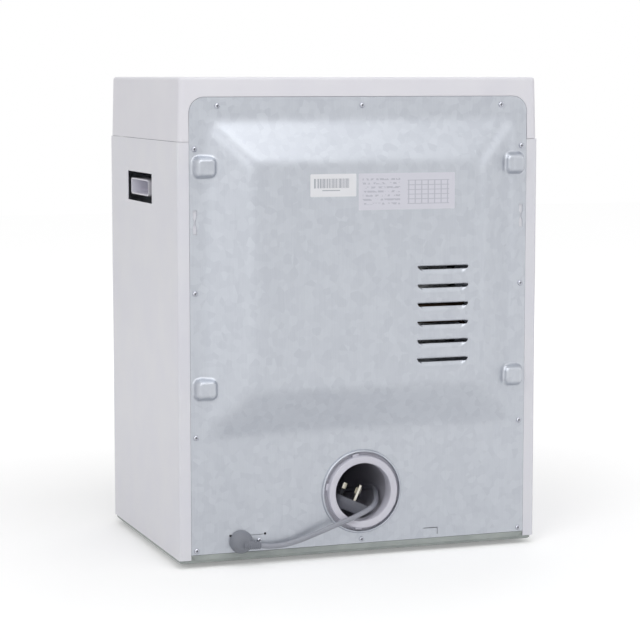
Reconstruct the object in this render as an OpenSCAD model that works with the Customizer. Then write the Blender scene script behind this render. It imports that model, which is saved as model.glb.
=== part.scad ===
// Compact vented tumble dryer, standing on four short feet.
// +Z up, front towards -Y, back towards +Y, origin on the floor under the middle.

/* [Cabinet] */
// Width across the side panels
body_w = 495; // [412:1:595]
// Height from the floor to the top
body_h = 625; // [520:1:750]
// Depth of the side panels
cabinet_d = 332; // [332:1:400]
// Height of the side panels' lower edge above the floor
side_lift = 11; // [9:1:14]
// Height of the top moulding
top_h = 81; // [76:1:97]
// Thickness of the cabinet's sheet steel
sheet = 1.2; // [0.8:0.1:1.5]
// Height of the feet
foot_h = 6; // [5:1:8]
// Radius of a foot
foot_r = 16; // [12:1:20]
// Height of the base pan's rim
pan_h = 11.3; // [9:0.1:14]
// Thickness of the base pan's floor
pan_floor = 2.5; // [2:0.1:4]

/* [Rear panel] */
// White edge that each side panel shows at the back
rear_edge = 15.5; // [12:0.5:20]
// Distance of the rear panel's top below the cabinet's top
rear_drop = 25; // [20:1:30]
// Radius of the rear panel's top corners
rear_corner = 20; // [10:1:24]
// How far the pressed bulge stands out
bulge_out = 32; // [26:1:40]
// Distance of the bulge's foot from the cabinet's sides
bulge_side = 36.5; // [34:0.5:42]
// Height of the bulge's foot above the floor
bulge_low = 171; // [165:1:185]
// Distance of the bulge's upper edge below the cabinet's top
bulge_drop = 52.6; // [48:0.1:60]
// Width of the bulge's slope on all four sides
bulge_slope = 57; // [48:1:70]
// Radius of the bulge's corners
bulge_corner = 20; // [12:1:30]
// Width of a stand-off pad
pad_w = 32; // [26:1:36]
// Height of a stand-off pad
pad_h = 29; // [24:1:34]
// How far a stand-off pad stands out
pad_out = 13; // [8:1:16]
// Distance of the pads from the bulge's upper and lower edge
pad_in = 60; // [50:1:72]
// Width of a louvre
louvre_w = 74; // [60:1:88]
// Height of a louvre
louvre_h = 10; // [8:0.5:12]
// Distance between louvres
louvre_pitch = 24.1; // [20:0.1:29]
// Number of louvres
louvre_n = 6; // [3:1:7]
// Distance of the louvres from the plateau's side edge
louvre_edge = 16.5; // [10:0.5:20]
// Distance of the lowest louvre from the plateau's lower edge
louvre_low = 23.5; // [18:0.5:30]
// Height of the hourglass slots
slot_h = 30.5; // [24:0.5:36]
// Width of the hourglass slots
slot_w = 5; // [4:0.5:6]
// Radius of a screw head
screw_r = 3.5; // [3:0.1:4.2]

/* [Vent] */
// Height of the vent's centre
vent_z = 86.5; // [76:0.5:90]
// Radius of the hole in the rear panel
vent_hole_r = 52.2; // [49.5:0.1:56]
// Outer radius of the plastic ring
ring_r = 47.5; // [46:0.1:49]
// Bore radius of the plastic ring
ring_bore_r = 38; // [34:0.1:40]
// How far the ring stands out of the rear panel
ring_out = 8; // [4:0.5:10]
// Bore radius of the exhaust duct
duct_r = 43.5; // [43:0.1:45]
// Wall of the exhaust duct
duct_wall = 1.5; // [1:0.1:2]

/* [Side panels] */
// Distance of the hand grip's middle from the back
grip_back = 180.5; // [120:0.5:210]
// Distance of the hand grip's middle below the top moulding
grip_drop = 64; // [50:1:80]
// Length of the hand grip's plate
grip_w = 121; // [100:1:140]
// Height of the hand grip's plate
grip_h = 38.5; // [30:0.5:46]
// Length of the finger opening
finger_w = 84; // [70:1:90]
// Height of the finger opening
finger_h = 18; // [15:0.5:24]
// Depth of the finger opening
finger_d = 27; // [22:1:32]
// Length of a pressed band
band_w = 198; // [160:1:230]
// Height of a pressed band
band_h = 48; // [40:1:56]
// Distance between bands
band_pitch = 86; // [70:1:100]
// Depth of a band
band_d = 0.4; // [0.2:0.1:0.5]

/* [Drum] */
// Gap between the drum and each side panel
drum_side_gap = 41.3; // [34:0.1:60]
// Gap between the drum and the cabinet's top
drum_top_gap = 65; // [58:1:80]
// Gap between the exhaust duct and the drum above it
drum_floor_gap = 18.5; // [14:0.5:26]
// Length of the drum
drum_len = 256; // [230:1:270]
// Wall of the drum
drum_wall = 1; // [0.8:0.1:1.5]
// Radius of the drum's rear shaft
shaft_r = 10; // [8:0.5:12]
// Height of a lifter
lifter_h = 36; // [28:1:44]

/* [Door] */
// Thickness of the closed door
door_t = 38; // [34:1:46]
// How far the loading opening is inside the drum's radius
opening_lip = 40; // [36:1:48]
// How far the door overlaps the loading opening
door_lap = 20; // [18:1:24]
// Width of the door's rim around the window
window_rim = 67; // [60:1:80]
// Radius of the hinge pin
pin_r = 3; // [2.5:0.1:4]

/* [Drive] */
// Distance of the motor's axis from the cabinet's side
motor_side = 82.5; // [70:0.5:90]
// Height of the motor's axis
motor_z = 110; // [100:1:118]
// Radius of the motor
motor_r = 42; // [34:1:46]
// Radius of the motor's shaft
rotor_r = 5; // [4:0.5:6]
// Radius of the motor's pulley
pulley_r = 9; // [8:0.5:11]
// Radius of the idler pulley
idler_r = 12; // [10:1:14]
// Width of the drive belt
belt_w = 10; // [8:1:12]
// Thickness of the drive belt
belt_t = 2; // [1.5:0.1:3]
// Radius of the fan
fan_r = 50; // [40:1:52]
// Depth of the fan's housing
fan_d = 45; // [38:1:48]

/* [Controls] */
// Radius of the timer knob
timer_r = 25; // [20:1:28]
// Radius of the heat knob
heat_r = 18; // [14:1:22]
// Radius of the start button
button_r = 9; // [7:1:11]
// Depth of the knobs
knob_d = 20; // [16:1:24]

/* [Power cord] */
// Diameter of the cord
cord_d = 6.8; // [6:0.1:7]
// Width and length of the plug
plug_w = 50; // [46:1:50]
// Thickness of the plug
plug_t = 16; // [14:1:16]

/* [Hidden] */
$fn = 64;

gap = 0.3;                                 // clearance between pieces that nearly touch
run = 0.05;                                // radial clearance of a shaft in its bore
cut = 1;                                   // how far a cutter passes the face it opens
hw = body_w / 2;
total_d = door_t + cabinet_d + bulge_out;
front_y = -total_d / 2 + door_t;           // front face of the cabinet
back_y = total_d / 2 - bulge_out;          // back face of the cabinet
seam_z = body_h - top_h;                   // lower edge of the top moulding
pan_top = foot_h + pan_h;
floor_z = foot_h + pan_floor;              // upper face of the base pan's floor
in_x = hw - sheet;                         // inner face of a side panel

rear_hw = hw - rear_edge - gap;            // half the rear panel's width
rear_z0 = pan_top + gap;
rear_z1 = body_h - rear_drop;
skin_y = back_y - sheet;                   // inner face of the rear panel
rear_lap = 15;                             // flange behind the rear panel that takes the screws
screw_in = 7;                              // distance of the screws from the rear panel's edge
bulge_hw = hw - bulge_side;
bulge_high = body_h - bulge_drop;
flat_hw = bulge_hw - bulge_slope;          // half the plateau's width
flat_z0 = bulge_low + bulge_slope;
flat_z1 = bulge_high - bulge_slope;
flat_y = back_y + bulge_out;
flat_corner = 15;
slot_drop = 101;                           // middle of the hourglass slots below the top moulding

duct_ro = duct_r + duct_wall;
drum_z0 = vent_z + duct_ro + drum_floor_gap;
drum_r = min(in_x - drum_side_gap, (body_h - drum_top_gap - drum_z0) / 2);
drum_z = drum_z0 + drum_r;
drum_y1 = back_y - 41;                     // back of the drum
drum_y0 = drum_y1 - drum_len;
opening_r = drum_r - opening_lip;
door_r = opening_r + door_lap;
window_r = door_r - window_rim;

bulk_y = front_y + 17;                     // front face of the front bulkhead
rear_bulk_y = drum_y1 + 13;                // front face of the rear bulkhead
bulk_z0 = drum_z0 - 3.5;
collar_r = drum_r - 17;                    // collar that carries the drum's front

motor_x = -(hw - motor_side);
motor_y0 = -60;
motor_y1 = 45;
belt_y = 64;
fan_y0 = bulk_y + 11;
fan_y1 = fan_y0 + fan_d;
scroll_r = fan_r + 10;
shell = 1.5;                               // wall of the plastic ducts
scroll_z0 = motor_z - scroll_r;
outlet_h = 50;                             // height of the fan's outlet
duct_y0 = fan_y0;                          // closed front end of the exhaust duct
duct_y1 = skin_y - 1.3;

grip_y = back_y - grip_back;
grip_z = seam_z - grip_drop;
hinge_x = -(door_r + 8);
hinge_y = front_y - 20;
hinge_span = 40;                           // half the hinge's height
knuckle_r = 6;
door_back = front_y - gap;                 // back of the closed door
latch_x = door_r - 8;
filter_w = 120;
filter_h = 88;
filter_z0 = drum_z - opening_r + 6 - filter_h;
knob_z = seam_z + top_h / 2 + 1.5;
fascia_y = front_y - 3;                    // front face of the fascia
timer_x = in_x - 96;
heat_x = timer_x - 84;
button_x = heat_x - 62;

louvre_x = -flat_hw + louvre_edge;
louvre_z = flat_z0 + louvre_low;
heater_w = 100;
heater_h = 140;
heater_x = louvre_x + louvre_w / 2;
heater_z = louvre_z + louvre_pitch * (louvre_n - 1) / 2 + louvre_h / 2;
heater_y1 = flat_y - 12;
heater_rods = 6;
rod_pitch = 20;

belt_slope = atan2(drum_z - motor_z, -motor_x)
    - asin((drum_r - pulley_r) / norm([motor_x, drum_z - motor_z]));
idler_along = 92;                          // distance of the idler from the motor pulley along the belt
idler_x = motor_x + idler_along * cos(belt_slope) + (pulley_r + belt_t + idler_r + 2 * gap) * sin(belt_slope);
idler_z = motor_z + idler_along * sin(belt_slope) - (pulley_r + belt_t + idler_r + 2 * gap) * cos(belt_slope);
pivot_x = idler_x - 14;
pivot_z = floor_z + 26;

gland_x = hw - 81.7;
gland_z = pan_top + 14;
gland_r = 15;
plug_turn = -24;                           // roll of the plug about the duct's axis
plug_y = 126;                              // middle of the plug's length
plug_x = 0.7;                              // middle of the face that the pins stand on
plug_z = vent_z - 17.4;
coil_r = 36;                               // radius of the coil at the middle of the cord
coil_y = -25;                              // deep end of the coil
coil_turns = 3;
coil_pitch = 7.2;
coil_z = vent_z - 3.8;                     // the coil lies on the duct's floor
loose_y = -66;                             // deep end of the loose turns before the coil
loose_a = 170;                             // angle at which the loose turns start
loose_turns = -1.45;

// Route of the cord from the gland into the duct.
cord_out = [[142, 178, 26], [132, 178, 24.5], [120, 178, 24], [108, 178, 25], [96, 178.5, 27.5],
    [84, 179.5, 31], [72, 181, 35.5], [60, 182.5, 40], [48, 183.5, 44.5], [36, 183.5, 48.5],
    [25, 182.5, 52], [14, 180, 55], [3, 176, 58], [-8, 170.5, 61], [-18, 163, 64.5],
    [-26, 153, 69], [-31, 141, 73.5], [-35, 128, 77], [-37.5, 113, 78.5], [-38.5, 97, 77],
    [-37.5, 80, 73.5], [-36, 62, 69], [-33, 44, 65], [-28, 27, 62.5], [-22.5, 10, 61.5],
    [-18.5, -7, 60.5], [-17, -24, 58.5], [-19, -39, 56], [-25, -50, 57.5], [-32, -59.5, 65.5]];
// Route of the cord from the coil to the plug.
cord_back = [[35, -2, 74], [29.5, 2, 62], [21.5, 8.5, 55], [13, 20, 52.5], [8, 33, 54],
    [5.5, 48, 57], [4.5, 64, 60], [4.2, 78, 61.2]];

function helix(a0, y0, y1, turns, n) = [for (i = [0:n])
    let (a = a0 + 360 * turns * i / n)
    [coil_r * cos(a), y0 + (y1 - y0) * i / n, coil_z + coil_r * sin(a)]];
function unit(v) = v / norm(v);
function tangent(p, i) = unit(p[min(i + 1, len(p) - 1)] - p[max(i - 1, 0)]);
function carried(u, t) = unit(u - (u * t) * t);
function frames(p, u, i = 0) = i >= len(p) ? []
    : let (v = carried(u, tangent(p, i))) concat([v], frames(p, v, i + 1));

module tube(p, r, sides) {
    us = frames(p, [0.1, 0.3, 1]);
    pts = [for (i = [0:len(p) - 1]) let (t = tangent(p, i), u = us[i], v = cross(t, u))
        for (k = [0:sides - 1]) p[i] + r * (cos(360 * k / sides) * u + sin(360 * k / sides) * v)];
    walls = [for (i = [0:len(p) - 2]) for (k = [0:sides - 1]) let (a = i * sides, b = (k + 1) % sides)
        [a + k, a + sides + k, a + sides + b, a + b]];
    ends = [[for (k = [0:sides - 1]) k],
        [for (k = [sides - 1:-1:0]) (len(p) - 1) * sides + k]];
    polyhedron(pts, concat(walls, ends), convexity = 10);
}

module box(x0, x1, y0, y1, z0, z1) translate([x0, y0, z0]) cube([x1 - x0, y1 - y0, z1 - z0]);
module y_cyl(r, y0, y1, x = 0, z = 0) translate([x, y0, z]) rotate([-90, 0, 0]) cylinder(r = r, h = y1 - y0);
module y_ring(r0, r1, y0, y1, x = 0, z = 0) difference() {
    y_cyl(r1, y0, y1, x, z);
    y_cyl(r0, y0 - cut, y1 + cut, x, z);
}
module y_turned(x, z) translate([x, 0, z]) rotate([-90, 0, 0]) rotate_extrude() children();
module rounded(w, h, r) {                  // rectangle with round corners, middle at the origin
    square([w - 2 * r, h], center = true);
    square([w, h - 2 * r], center = true);
    for (x = [-1, 1], z = [-1, 1]) translate([x * (w / 2 - r), z * (h / 2 - r)]) circle(r);
}
module upright(y0, y1, x = 0, z = 0)       // outline in x and z, extruded from y0 to y1
    translate([x, y1, z]) rotate([90, 0, 0]) linear_extrude(y1 - y0) children();

// ---- cabinet ----
module base_pan() color("#a9aeac") {
    rim = 2;
    difference() {
        union() {
            box(-in_x, in_x, front_y + sheet, skin_y - sheet - gap, foot_h, pan_top);
            box(-rear_hw, rear_hw, front_y + sheet, back_y, foot_h, pan_top);
        }
        box(-in_x + rim, in_x - rim, front_y + sheet + rim, skin_y - sheet - gap - rim, floor_z, pan_top + cut);
        for (x = [-1, 1], y = foot_places()) translate([x * foot_x(), y, 0])
            cylinder(r = foot_r / 3, h = floor_z + cut);
    }
}
function foot_x() = hw - 50;
function foot_places() = [front_y + 45, back_y - 45];

module feet() color("#4a4c50") for (x = [-1, 1], y = foot_places()) translate([x * foot_x(), y, 0]) {
    cylinder(r = foot_r, h = foot_h);
    cylinder(r = foot_r / 3 - gap, h = floor_z);
}

module side_panel() color("#ecebf2") difference() {
    union() {
        box(in_x, hw, front_y, back_y, side_lift, seam_z);
        box(hw - 12, hw, front_y, front_y + sheet, side_lift, seam_z);
        box(hw - rear_edge, hw, skin_y, back_y, side_lift, seam_z);
        box(hw - rear_edge - rear_lap, in_x + sheet / 2, skin_y - sheet, skin_y, pan_top + 1, seam_z - sheet);
        box(hw - 14, hw, front_y, skin_y, seam_z - sheet, seam_z);
    }
    box(in_x - cut, hw + cut, grip_y - grip_w / 2 - gap, grip_y + grip_w / 2 + gap,
        grip_z - grip_h / 2 - gap, grip_z + grip_h / 2 + gap);
    for (i = [0:3]) box(hw - band_d, hw + cut, grip_y - band_w / 2, grip_y + band_w / 2,
        band_top(i) - band_h, band_top(i));
    for (z = screw_column()) y_cyl(screw_r / 2 + gap, skin_y - sheet - cut, skin_y, rear_hw - screw_in, z);
    box(rear_hw - screw_in - slot_w, rear_hw - screw_in + slot_w, skin_y - sheet - cut,
        skin_y, seam_z - slot_drop - slot_h / 2 - 2, seam_z - slot_drop + slot_h / 2 + 2);
}
function band_top(i) = seam_z - 127 - i * band_pitch;
function screw_column() = [seam_z - 9, seam_z - 191, seam_z - 375, rear_z0 + 5];
module side_panel_left() mirror([1, 0, 0]) side_panel();
module side_panel_right() side_panel();

module grip() color("#e6e6ee") difference() {
    wall = 2;
    union() {
        box(hw - 3, hw, grip_y - grip_w / 2, grip_y + grip_w / 2, grip_z - grip_h / 2, grip_z + grip_h / 2);
        box(in_x - 2, in_x, grip_y - grip_w / 2 - 4, grip_y + grip_w / 2 + 4,
            grip_z - grip_h / 2 - 4, grip_z + grip_h / 2 + 4);
        box(hw - finger_d - wall, in_x, grip_y - finger_w / 2 - wall, grip_y + finger_w / 2 + wall,
            grip_z - finger_h / 2 - wall, grip_z + finger_h / 2 + wall);
    }
    box(hw - finger_d, hw + cut, grip_y - finger_w / 2, grip_y + finger_w / 2,
        grip_z - finger_h / 2, grip_z + finger_h / 2);
}
module grip_left() mirror([1, 0, 0]) grip();
module grip_right() grip();

module bulge(grow, y1) hull() {            // block that tapers from the foot to the plateau
    upright(skin_y - sheet - grow, skin_y - grow, 0, (bulge_low + bulge_high) / 2)
        rounded(2 * bulge_hw, bulge_high - bulge_low, bulge_corner, $fn = 32);
    upright(y1 - sheet, y1, 0, (flat_z0 + flat_z1) / 2)
        rounded(2 * flat_hw, flat_z1 - flat_z0, flat_corner, $fn = 32);
}
module pads(y0, y1, inset) for (x = [-1, 1], z = [bulge_low + pad_in, bulge_high - pad_in])
    upright(y0, y1, x * (bulge_hw + 1), z) rounded(pad_w - 2 * inset, pad_h - 2 * inset, 9 - inset);
module rear_outline(grow) {
    r = rear_corner + grow;
    translate([0, (rear_z1 + rear_z0 - r) / 2])
        square([2 * (rear_hw + grow), rear_z1 - rear_z0 - r], center = true);
    translate([0, rear_z1 - rear_corner]) square([2 * (rear_hw - rear_corner), 2 * r], center = true);
    for (x = [-1, 1]) translate([x * (rear_hw - rear_corner), rear_z1 - rear_corner]) circle(r);
}
module rear_panel() color("#cdd1da") difference() {
    union() {
        upright(skin_y, back_y) rear_outline(0);
        bulge(-sheet * 2, flat_y);
        pads(skin_y, back_y + pad_out, 0);
        y_cyl(vent_hole_r + 2.8, skin_y, back_y + 3, 0, vent_z);
    }
    bulge(0, flat_y - sheet);
    pads(skin_y - cut, back_y + pad_out - sheet, sheet);
    y_cyl(vent_hole_r, skin_y - cut, back_y + 4, 0, vent_z);
    for (i = [0:louvre_n - 1]) box(louvre_x, louvre_x + louvre_w, flat_y - sheet - cut, flat_y + cut,
        louvre_z + i * louvre_pitch, louvre_z + i * louvre_pitch + louvre_h);
    for (x = [-1, 1]) hourglass(x * (rear_hw - screw_in));
    for (p = screw_places()) y_cyl(screw_r / 2 + gap, skin_y - cut, back_y + cut, p[0], p[1]);
    y_cyl(gland_r - 4, skin_y - cut, back_y + cut, gland_x, gland_z);
}
module hourglass(x) upright(skin_y - cut, back_y + cut, x, seam_z - slot_drop)
    polygon([[-slot_w / 2, -slot_h / 2], [slot_w / 2, -slot_h / 2], [slot_w / 6, -2], [slot_w / 6, 2],
        [slot_w / 2, slot_h / 2], [-slot_w / 2, slot_h / 2], [-slot_w / 6, 2], [-slot_w / 6, -2]]);
function top_screws() = [for (x = [-1, 0, 1]) [x * (rear_hw - 37), rear_z1 - 11]];
function screw_places() = concat(top_screws(), [[0, rear_z0 + 5]],
    [for (x = [-1, 1]) for (z = screw_column()) [x * (rear_hw - screw_in), z]]);

module rear_screws() color("#b9bcc4") for (p = screw_places()) {
    y_cyl(screw_r, back_y, back_y + 2, p[0], p[1]);
    y_cyl(screw_r / 2, skin_y - sheet - 0.5, back_y, p[0], p[1]);
}
module rating_labels() color("#f4f5f8") {
    label_y = flat_y + gap / 3;
    label_drop = 12.4;
    box(20, 82, label_y - gap / 3, label_y, flat_z1 - label_drop - 29, flat_z1 - label_drop);
    box(-116, 17, label_y - gap / 3, label_y, flat_z1 - label_drop - 47, flat_z1 - label_drop);
}

module front_panel() color("#ecebf2") difference() {
    union() {
        box(-hw + 12 + gap, hw - 12 - gap, front_y, front_y + sheet, pan_top + gap, seam_z - sheet - gap);
        y_cyl(opening_r + sheet, front_y, bulk_y - gap, 0, drum_z);
    }
    y_cyl(opening_r, front_y - cut, bulk_y + cut, 0, drum_z);
    box(-filter_w / 2 - 2, filter_w / 2 + 2, front_y + sheet + 1, bulk_y + cut,
        drum_z - drum_r, drum_z - opening_r / 2);
    upright(front_y - cut, front_y + sheet + cut, latch_x, drum_z) square([10, 16], center = true);
    y_cyl(4.5, front_y - cut, front_y + sheet + cut, latch_x, drum_z + 22);
}

// ---- top moulding and controls ----
module top_block(inset, z0, z1) {
    w = 2 * (hw - 1 - inset);
    d = cabinet_d - 2 * inset + 0.6;
    round_top = 4;
    hull() {
        slab(w, d, z0);
        slab(w - 3, d, z1 - round_top);
        slab(w - 4.5, d - 2.5, z1 - 1.2);
        slab(w - 8, d - 8, z1);
    }
}
module slab(w, d, z) translate([0, (front_y + back_y + 0.6) / 2, z - 0.02]) linear_extrude(0.02)
    rounded(w, d, 6, $fn = 32);
module top_cover() color("#f2f1f7") difference() {
    wall = 3.5;
    top_block(0, seam_z + 0.02, body_h);
    top_block(wall, seam_z, body_h - wall);
    upright(skin_y, back_y + 2) rear_outline(gap);
    for (p = top_screws()) y_cyl(screw_r / 2, back_y - 6, back_y, p[0], p[1]);
    for (k = [timer_x, heat_x]) y_cyl(7, front_y - cut, front_y + wall + cut, k, knob_z);
    y_cyl(button_r + 1, front_y - cut, front_y + wall + cut, button_x, knob_z);
}
module control_fascia() color("#e3e4ea") difference() {
    upright(fascia_y, front_y, 0, knob_z - 1) rounded(2 * hw - 60, top_h - 21, 6);
    for (k = [timer_x, heat_x]) y_cyl(5, fascia_y - cut, front_y + cut, k, knob_z);
    y_cyl(button_r + gap, fascia_y - cut, front_y + cut, button_x, knob_z);
}
module knob(x, r) {
    back = fascia_y - gap;
    y_turned(x, knob_z) polygon([[0, back - knob_d], [r - 4, back - knob_d], [r - 2.5, back - knob_d + 1.5],
        [r - 1, back - 4], [r, back - 4], [r, back], [0, back]]);
    box(x - 1, x + 1, back - knob_d - 1, back - knob_d, knob_z, knob_z + r - 5);
    y_cyl(4, back, front_y + 36, x, knob_z);
}
module timer_knob() color("#dfe0e6") knob(timer_x, timer_r);
module heat_knob() color("#dfe0e6") knob(heat_x, heat_r);
module start_button() color("#dfe0e6") {
    y_cyl(button_r, fascia_y - 4, fascia_y + 2, button_x, knob_z);
    y_cyl(3.5, fascia_y + 2, front_y + 18, button_x, knob_z);
}
module control_switches() color("#55585f") difference() {
    wall_y = front_y + 3.5;
    union() {
        box(timer_x - 28, timer_x + 28, wall_y, wall_y + 38, knob_z - 26, knob_z + 26);
        box(heat_x - 20, heat_x + 20, wall_y, wall_y + 38, knob_z - 20, knob_z + 20);
        box(button_x - 12, button_x + 12, wall_y, wall_y + 28, knob_z - 12, knob_z + 12);
    }
    for (x = [timer_x, heat_x]) y_cyl(4 + run, wall_y - cut, wall_y + 34, x, knob_z);
    y_cyl(3.5 + run, wall_y - cut, wall_y + 20, button_x, knob_z);
}

// ---- door ----
module door_outer() color("#f2f1f7") difference() {
    y_turned(0, drum_z) polygon([[window_r - 4, front_y - door_t + 8], [window_r, front_y - door_t + 3],
        [window_r + 12, front_y - door_t + 0.5], [door_r - 20, front_y - door_t + 6],
        [door_r - 4, front_y - door_t + 14], [door_r, front_y - door_t + 20], [door_r, front_y - 8.3],
        [door_r - 3, front_y - 8.3], [door_r - 3, front_y - door_t + 21], [door_r - 7, front_y - door_t + 17],
        [door_r - 21, front_y - door_t + 9], [window_r + 11, front_y - door_t + 3.5],
        [window_r + 3, front_y - door_t + 5], [window_r - 1, front_y - door_t + 10],
        [window_r - 4, front_y - door_t + 10]]);
    box(hinge_x - 9, hinge_x + 30, hinge_y - 9, front_y, drum_z - hinge_span - 2, drum_z + hinge_span + 2);
    box(door_r - 14, door_r + cut, front_y - door_t + 18, front_y, drum_z - 36, drum_z + 36);
}
module door_liner() color("#dcdde3") difference() {
    leaf = hinge_span - 14.3;              // half the height of the middle knuckle
    union() {
        y_turned(0, drum_z) polygon([[window_r - 6, door_back - 4], [door_r - 4, door_back - 4],
            [door_r, door_back - 8 + gap], [door_r, door_back - 5], [door_r - 2, door_back - 2.5],
            [window_r - 6, door_back - 2.5]]);
        y_ring(window_r - 6, window_r - 3, front_y - door_t + 11, door_back - 3, 0, drum_z);
        box(hinge_x, hinge_x + 34, hinge_y + 4, door_back - 3, drum_z - leaf, drum_z + leaf);
        box(hinge_x - knuckle_r, hinge_x + knuckle_r, hinge_y, door_back - 3,
            drum_z - leaf, drum_z + leaf);
        translate([hinge_x, hinge_y, drum_z - leaf]) cylinder(r = knuckle_r, h = 2 * leaf);
    }
    translate([hinge_x, hinge_y, drum_z - hinge_span]) cylinder(r = pin_r + run, h = 2 * hinge_span);
}
module door_window() color("#3a3f4a") y_turned(0, drum_z)
    translate([0, front_y - door_t]) polygon([[0, 0], [window_r / 2, 1.2], [window_r - 4.3, 6.5],
        [window_r - 4.3, 10.5], [window_r / 2, 4.2], [0, 3]]);
module door_seal() color("#6b6e75")
    y_ring(opening_r + 1, opening_r + 6, door_back - 2.5, door_back, 0, drum_z);
module door_catch() color("#e6e6ee") {
    box(latch_x - 2, latch_x + 2, door_back - 2.5, front_y + 12, drum_z - 5, drum_z + 5);
    box(latch_x - 3.5, latch_x - 1, front_y + 9, front_y + 12, drum_z - 5, drum_z + 5);
    box(latch_x - 4, latch_x + 5, door_back - 2.5, door_back, drum_z - 9, drum_z + 9);
}
module hinge_bracket() color("#f2f1f7") difference() {
    union() {
        box(hinge_x - 28, hinge_x - 7, front_y - 3, front_y, drum_z - hinge_span, drum_z + hinge_span);
        for (z = [-hinge_span, hinge_span - 14]) {
            box(hinge_x - knuckle_r - 6, hinge_x - knuckle_r + 2, hinge_y - 2, front_y,
                drum_z + z, drum_z + z + 14);
            box(hinge_x - knuckle_r, hinge_x, hinge_y - 2, hinge_y + 2, drum_z + z, drum_z + z + 14);
            translate([hinge_x, hinge_y, drum_z + z]) cylinder(r = knuckle_r, h = 14);
        }
    }
    translate([hinge_x, hinge_y, drum_z - hinge_span - cut]) cylinder(r = pin_r, h = 2 * hinge_span + 2 * cut);
}
module hinge_pin() color("#b9bcc4") translate([hinge_x, hinge_y, drum_z - hinge_span])
    cylinder(r = pin_r, h = 2 * hinge_span);
module door_latch() color("#55585f") difference() {
    box(latch_x - 9, latch_x + 12, front_y + sheet, front_y + sheet + 14, drum_z - 14, drum_z + 34);
    box(latch_x - 6.5, latch_x + 6.5, front_y, front_y + 13.5, drum_z - 8, drum_z + 8);
    y_cyl(3 + run, front_y, front_y + 13.5, latch_x, drum_z + 22);
}
module door_plunger() color("#e6e6ee") {
    y_cyl(3, front_y - 2.5, front_y + 8, latch_x, drum_z + 22);
    y_cyl(2, front_y + 8, front_y + 9.5, latch_x, drum_z + 22);
}

// ---- drum and what carries it ----
module drum_shell() color("#c9ccd2") difference() {
    y_cyl(drum_r, drum_y0, drum_y1 - drum_wall, 0, drum_z);
    y_cyl(drum_r - drum_wall, drum_y0 - cut, drum_y1 + cut, 0, drum_z);
}
module drum_back() color("#c9ccd2") difference() {
    y_cyl(drum_r, drum_y1 - drum_wall, drum_y1, 0, drum_z);
    for (ring = [0:3], i = [0:23]) {
        r = drum_r * 0.4 + ring * drum_r * 0.12;
        a = 15 * i + 7.5 * (ring % 2);
        y_cyl(4, drum_y1 - drum_wall - cut, drum_y1 + cut, r * cos(a), drum_z + r * sin(a));
    }
}
module drum_lifters() color("#e8e8ee") for (a = [90, 210, 330]) translate([0, drum_y1 - drum_wall, drum_z])
    rotate([90, 0, 0]) rotate([0, 0, a - 90]) linear_extrude(drum_len - 30) intersection() {
        circle(drum_r - drum_wall - gap / 3);
        polygon([[-22, drum_r + 2], [22, drum_r + 2], [12, drum_r - lifter_h + 6], [6, drum_r - lifter_h],
            [-6, drum_r - lifter_h], [-12, drum_r - lifter_h + 6]]);
    }
module drum_shaft() color("#9a9da3") {
    y_cyl(shaft_r * 4.4, drum_y1, drum_y1 + 5, 0, drum_z);
    y_cyl(shaft_r, drum_y1 + 5, rear_bulk_y + 23, 0, drum_z);
}
module rear_bearing() color("#b08a4a")
    y_ring(shaft_r + run, shaft_r + 6, rear_bulk_y + sheet, rear_bulk_y + sheet + 16, 0, drum_z);
module bearing_housing() color("#8f9296") difference() {
    union() {
        y_cyl(shaft_r + 34, rear_bulk_y + sheet, rear_bulk_y + sheet + 3, 0, drum_z);
        y_cyl(shaft_r + 14, rear_bulk_y + sheet, rear_bulk_y + sheet + 17, 0, drum_z);
    }
    y_cyl(shaft_r + 6, rear_bulk_y, rear_bulk_y + 20, 0, drum_z);
}
module front_bulkhead() color("#b9bdc4") difference() {
    union() {
        box(-in_x, in_x, bulk_y, bulk_y + sheet, bulk_z0, seam_z - sheet - gap);
        y_cyl(collar_r, bulk_y, bulk_y + 28, 0, drum_z);
    }
    y_cyl(opening_r, bulk_y - cut, bulk_y + 2, 0, drum_z);
    y_cyl(collar_r - 2, bulk_y + sheet, bulk_y + 30, 0, drum_z);
}
module rear_bulkhead() color("#b9bdc4") difference() {
    box(-in_x, in_x, rear_bulk_y, rear_bulk_y + sheet, bulk_z0, seam_z - sheet - gap);
    y_cyl(shaft_r + 5, rear_bulk_y - cut, rear_bulk_y + 3, 0, drum_z);
    box(heater_x - heater_w / 2 + 8, heater_x + heater_w / 2 - 8, rear_bulk_y - cut, rear_bulk_y + 3,
        heater_z - heater_h / 2 + 8, heater_z + heater_h / 2 - 8);
}
module drum_seals() color("#7d7f84") {
    y_ring(collar_r + gap / 3, drum_r - drum_wall - gap, drum_y0 + 0.5, drum_y0 + 4.5, 0, drum_z);
    y_ring(drum_r - 9, drum_r - 1, drum_y1 + gap, rear_bulk_y, 0, drum_z);
}
module glide_pads() color("#e8e8ee") for (a = [60, 105]) translate([0, bulk_y + 28, drum_z])
    rotate([90, 0, 0]) rotate([0, 0, a]) linear_extrude(5)
        difference() {
            circle(drum_r - drum_wall - gap);
            circle(collar_r + gap / 3);
            rotate(15) translate([-drum_r, 0]) square([2 * drum_r, drum_r + 1]);
            translate([-drum_r, -drum_r - 1]) square([2 * drum_r, drum_r + 1]);
            translate([-drum_r - 1, -1]) square([drum_r, drum_r]);
        }

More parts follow.
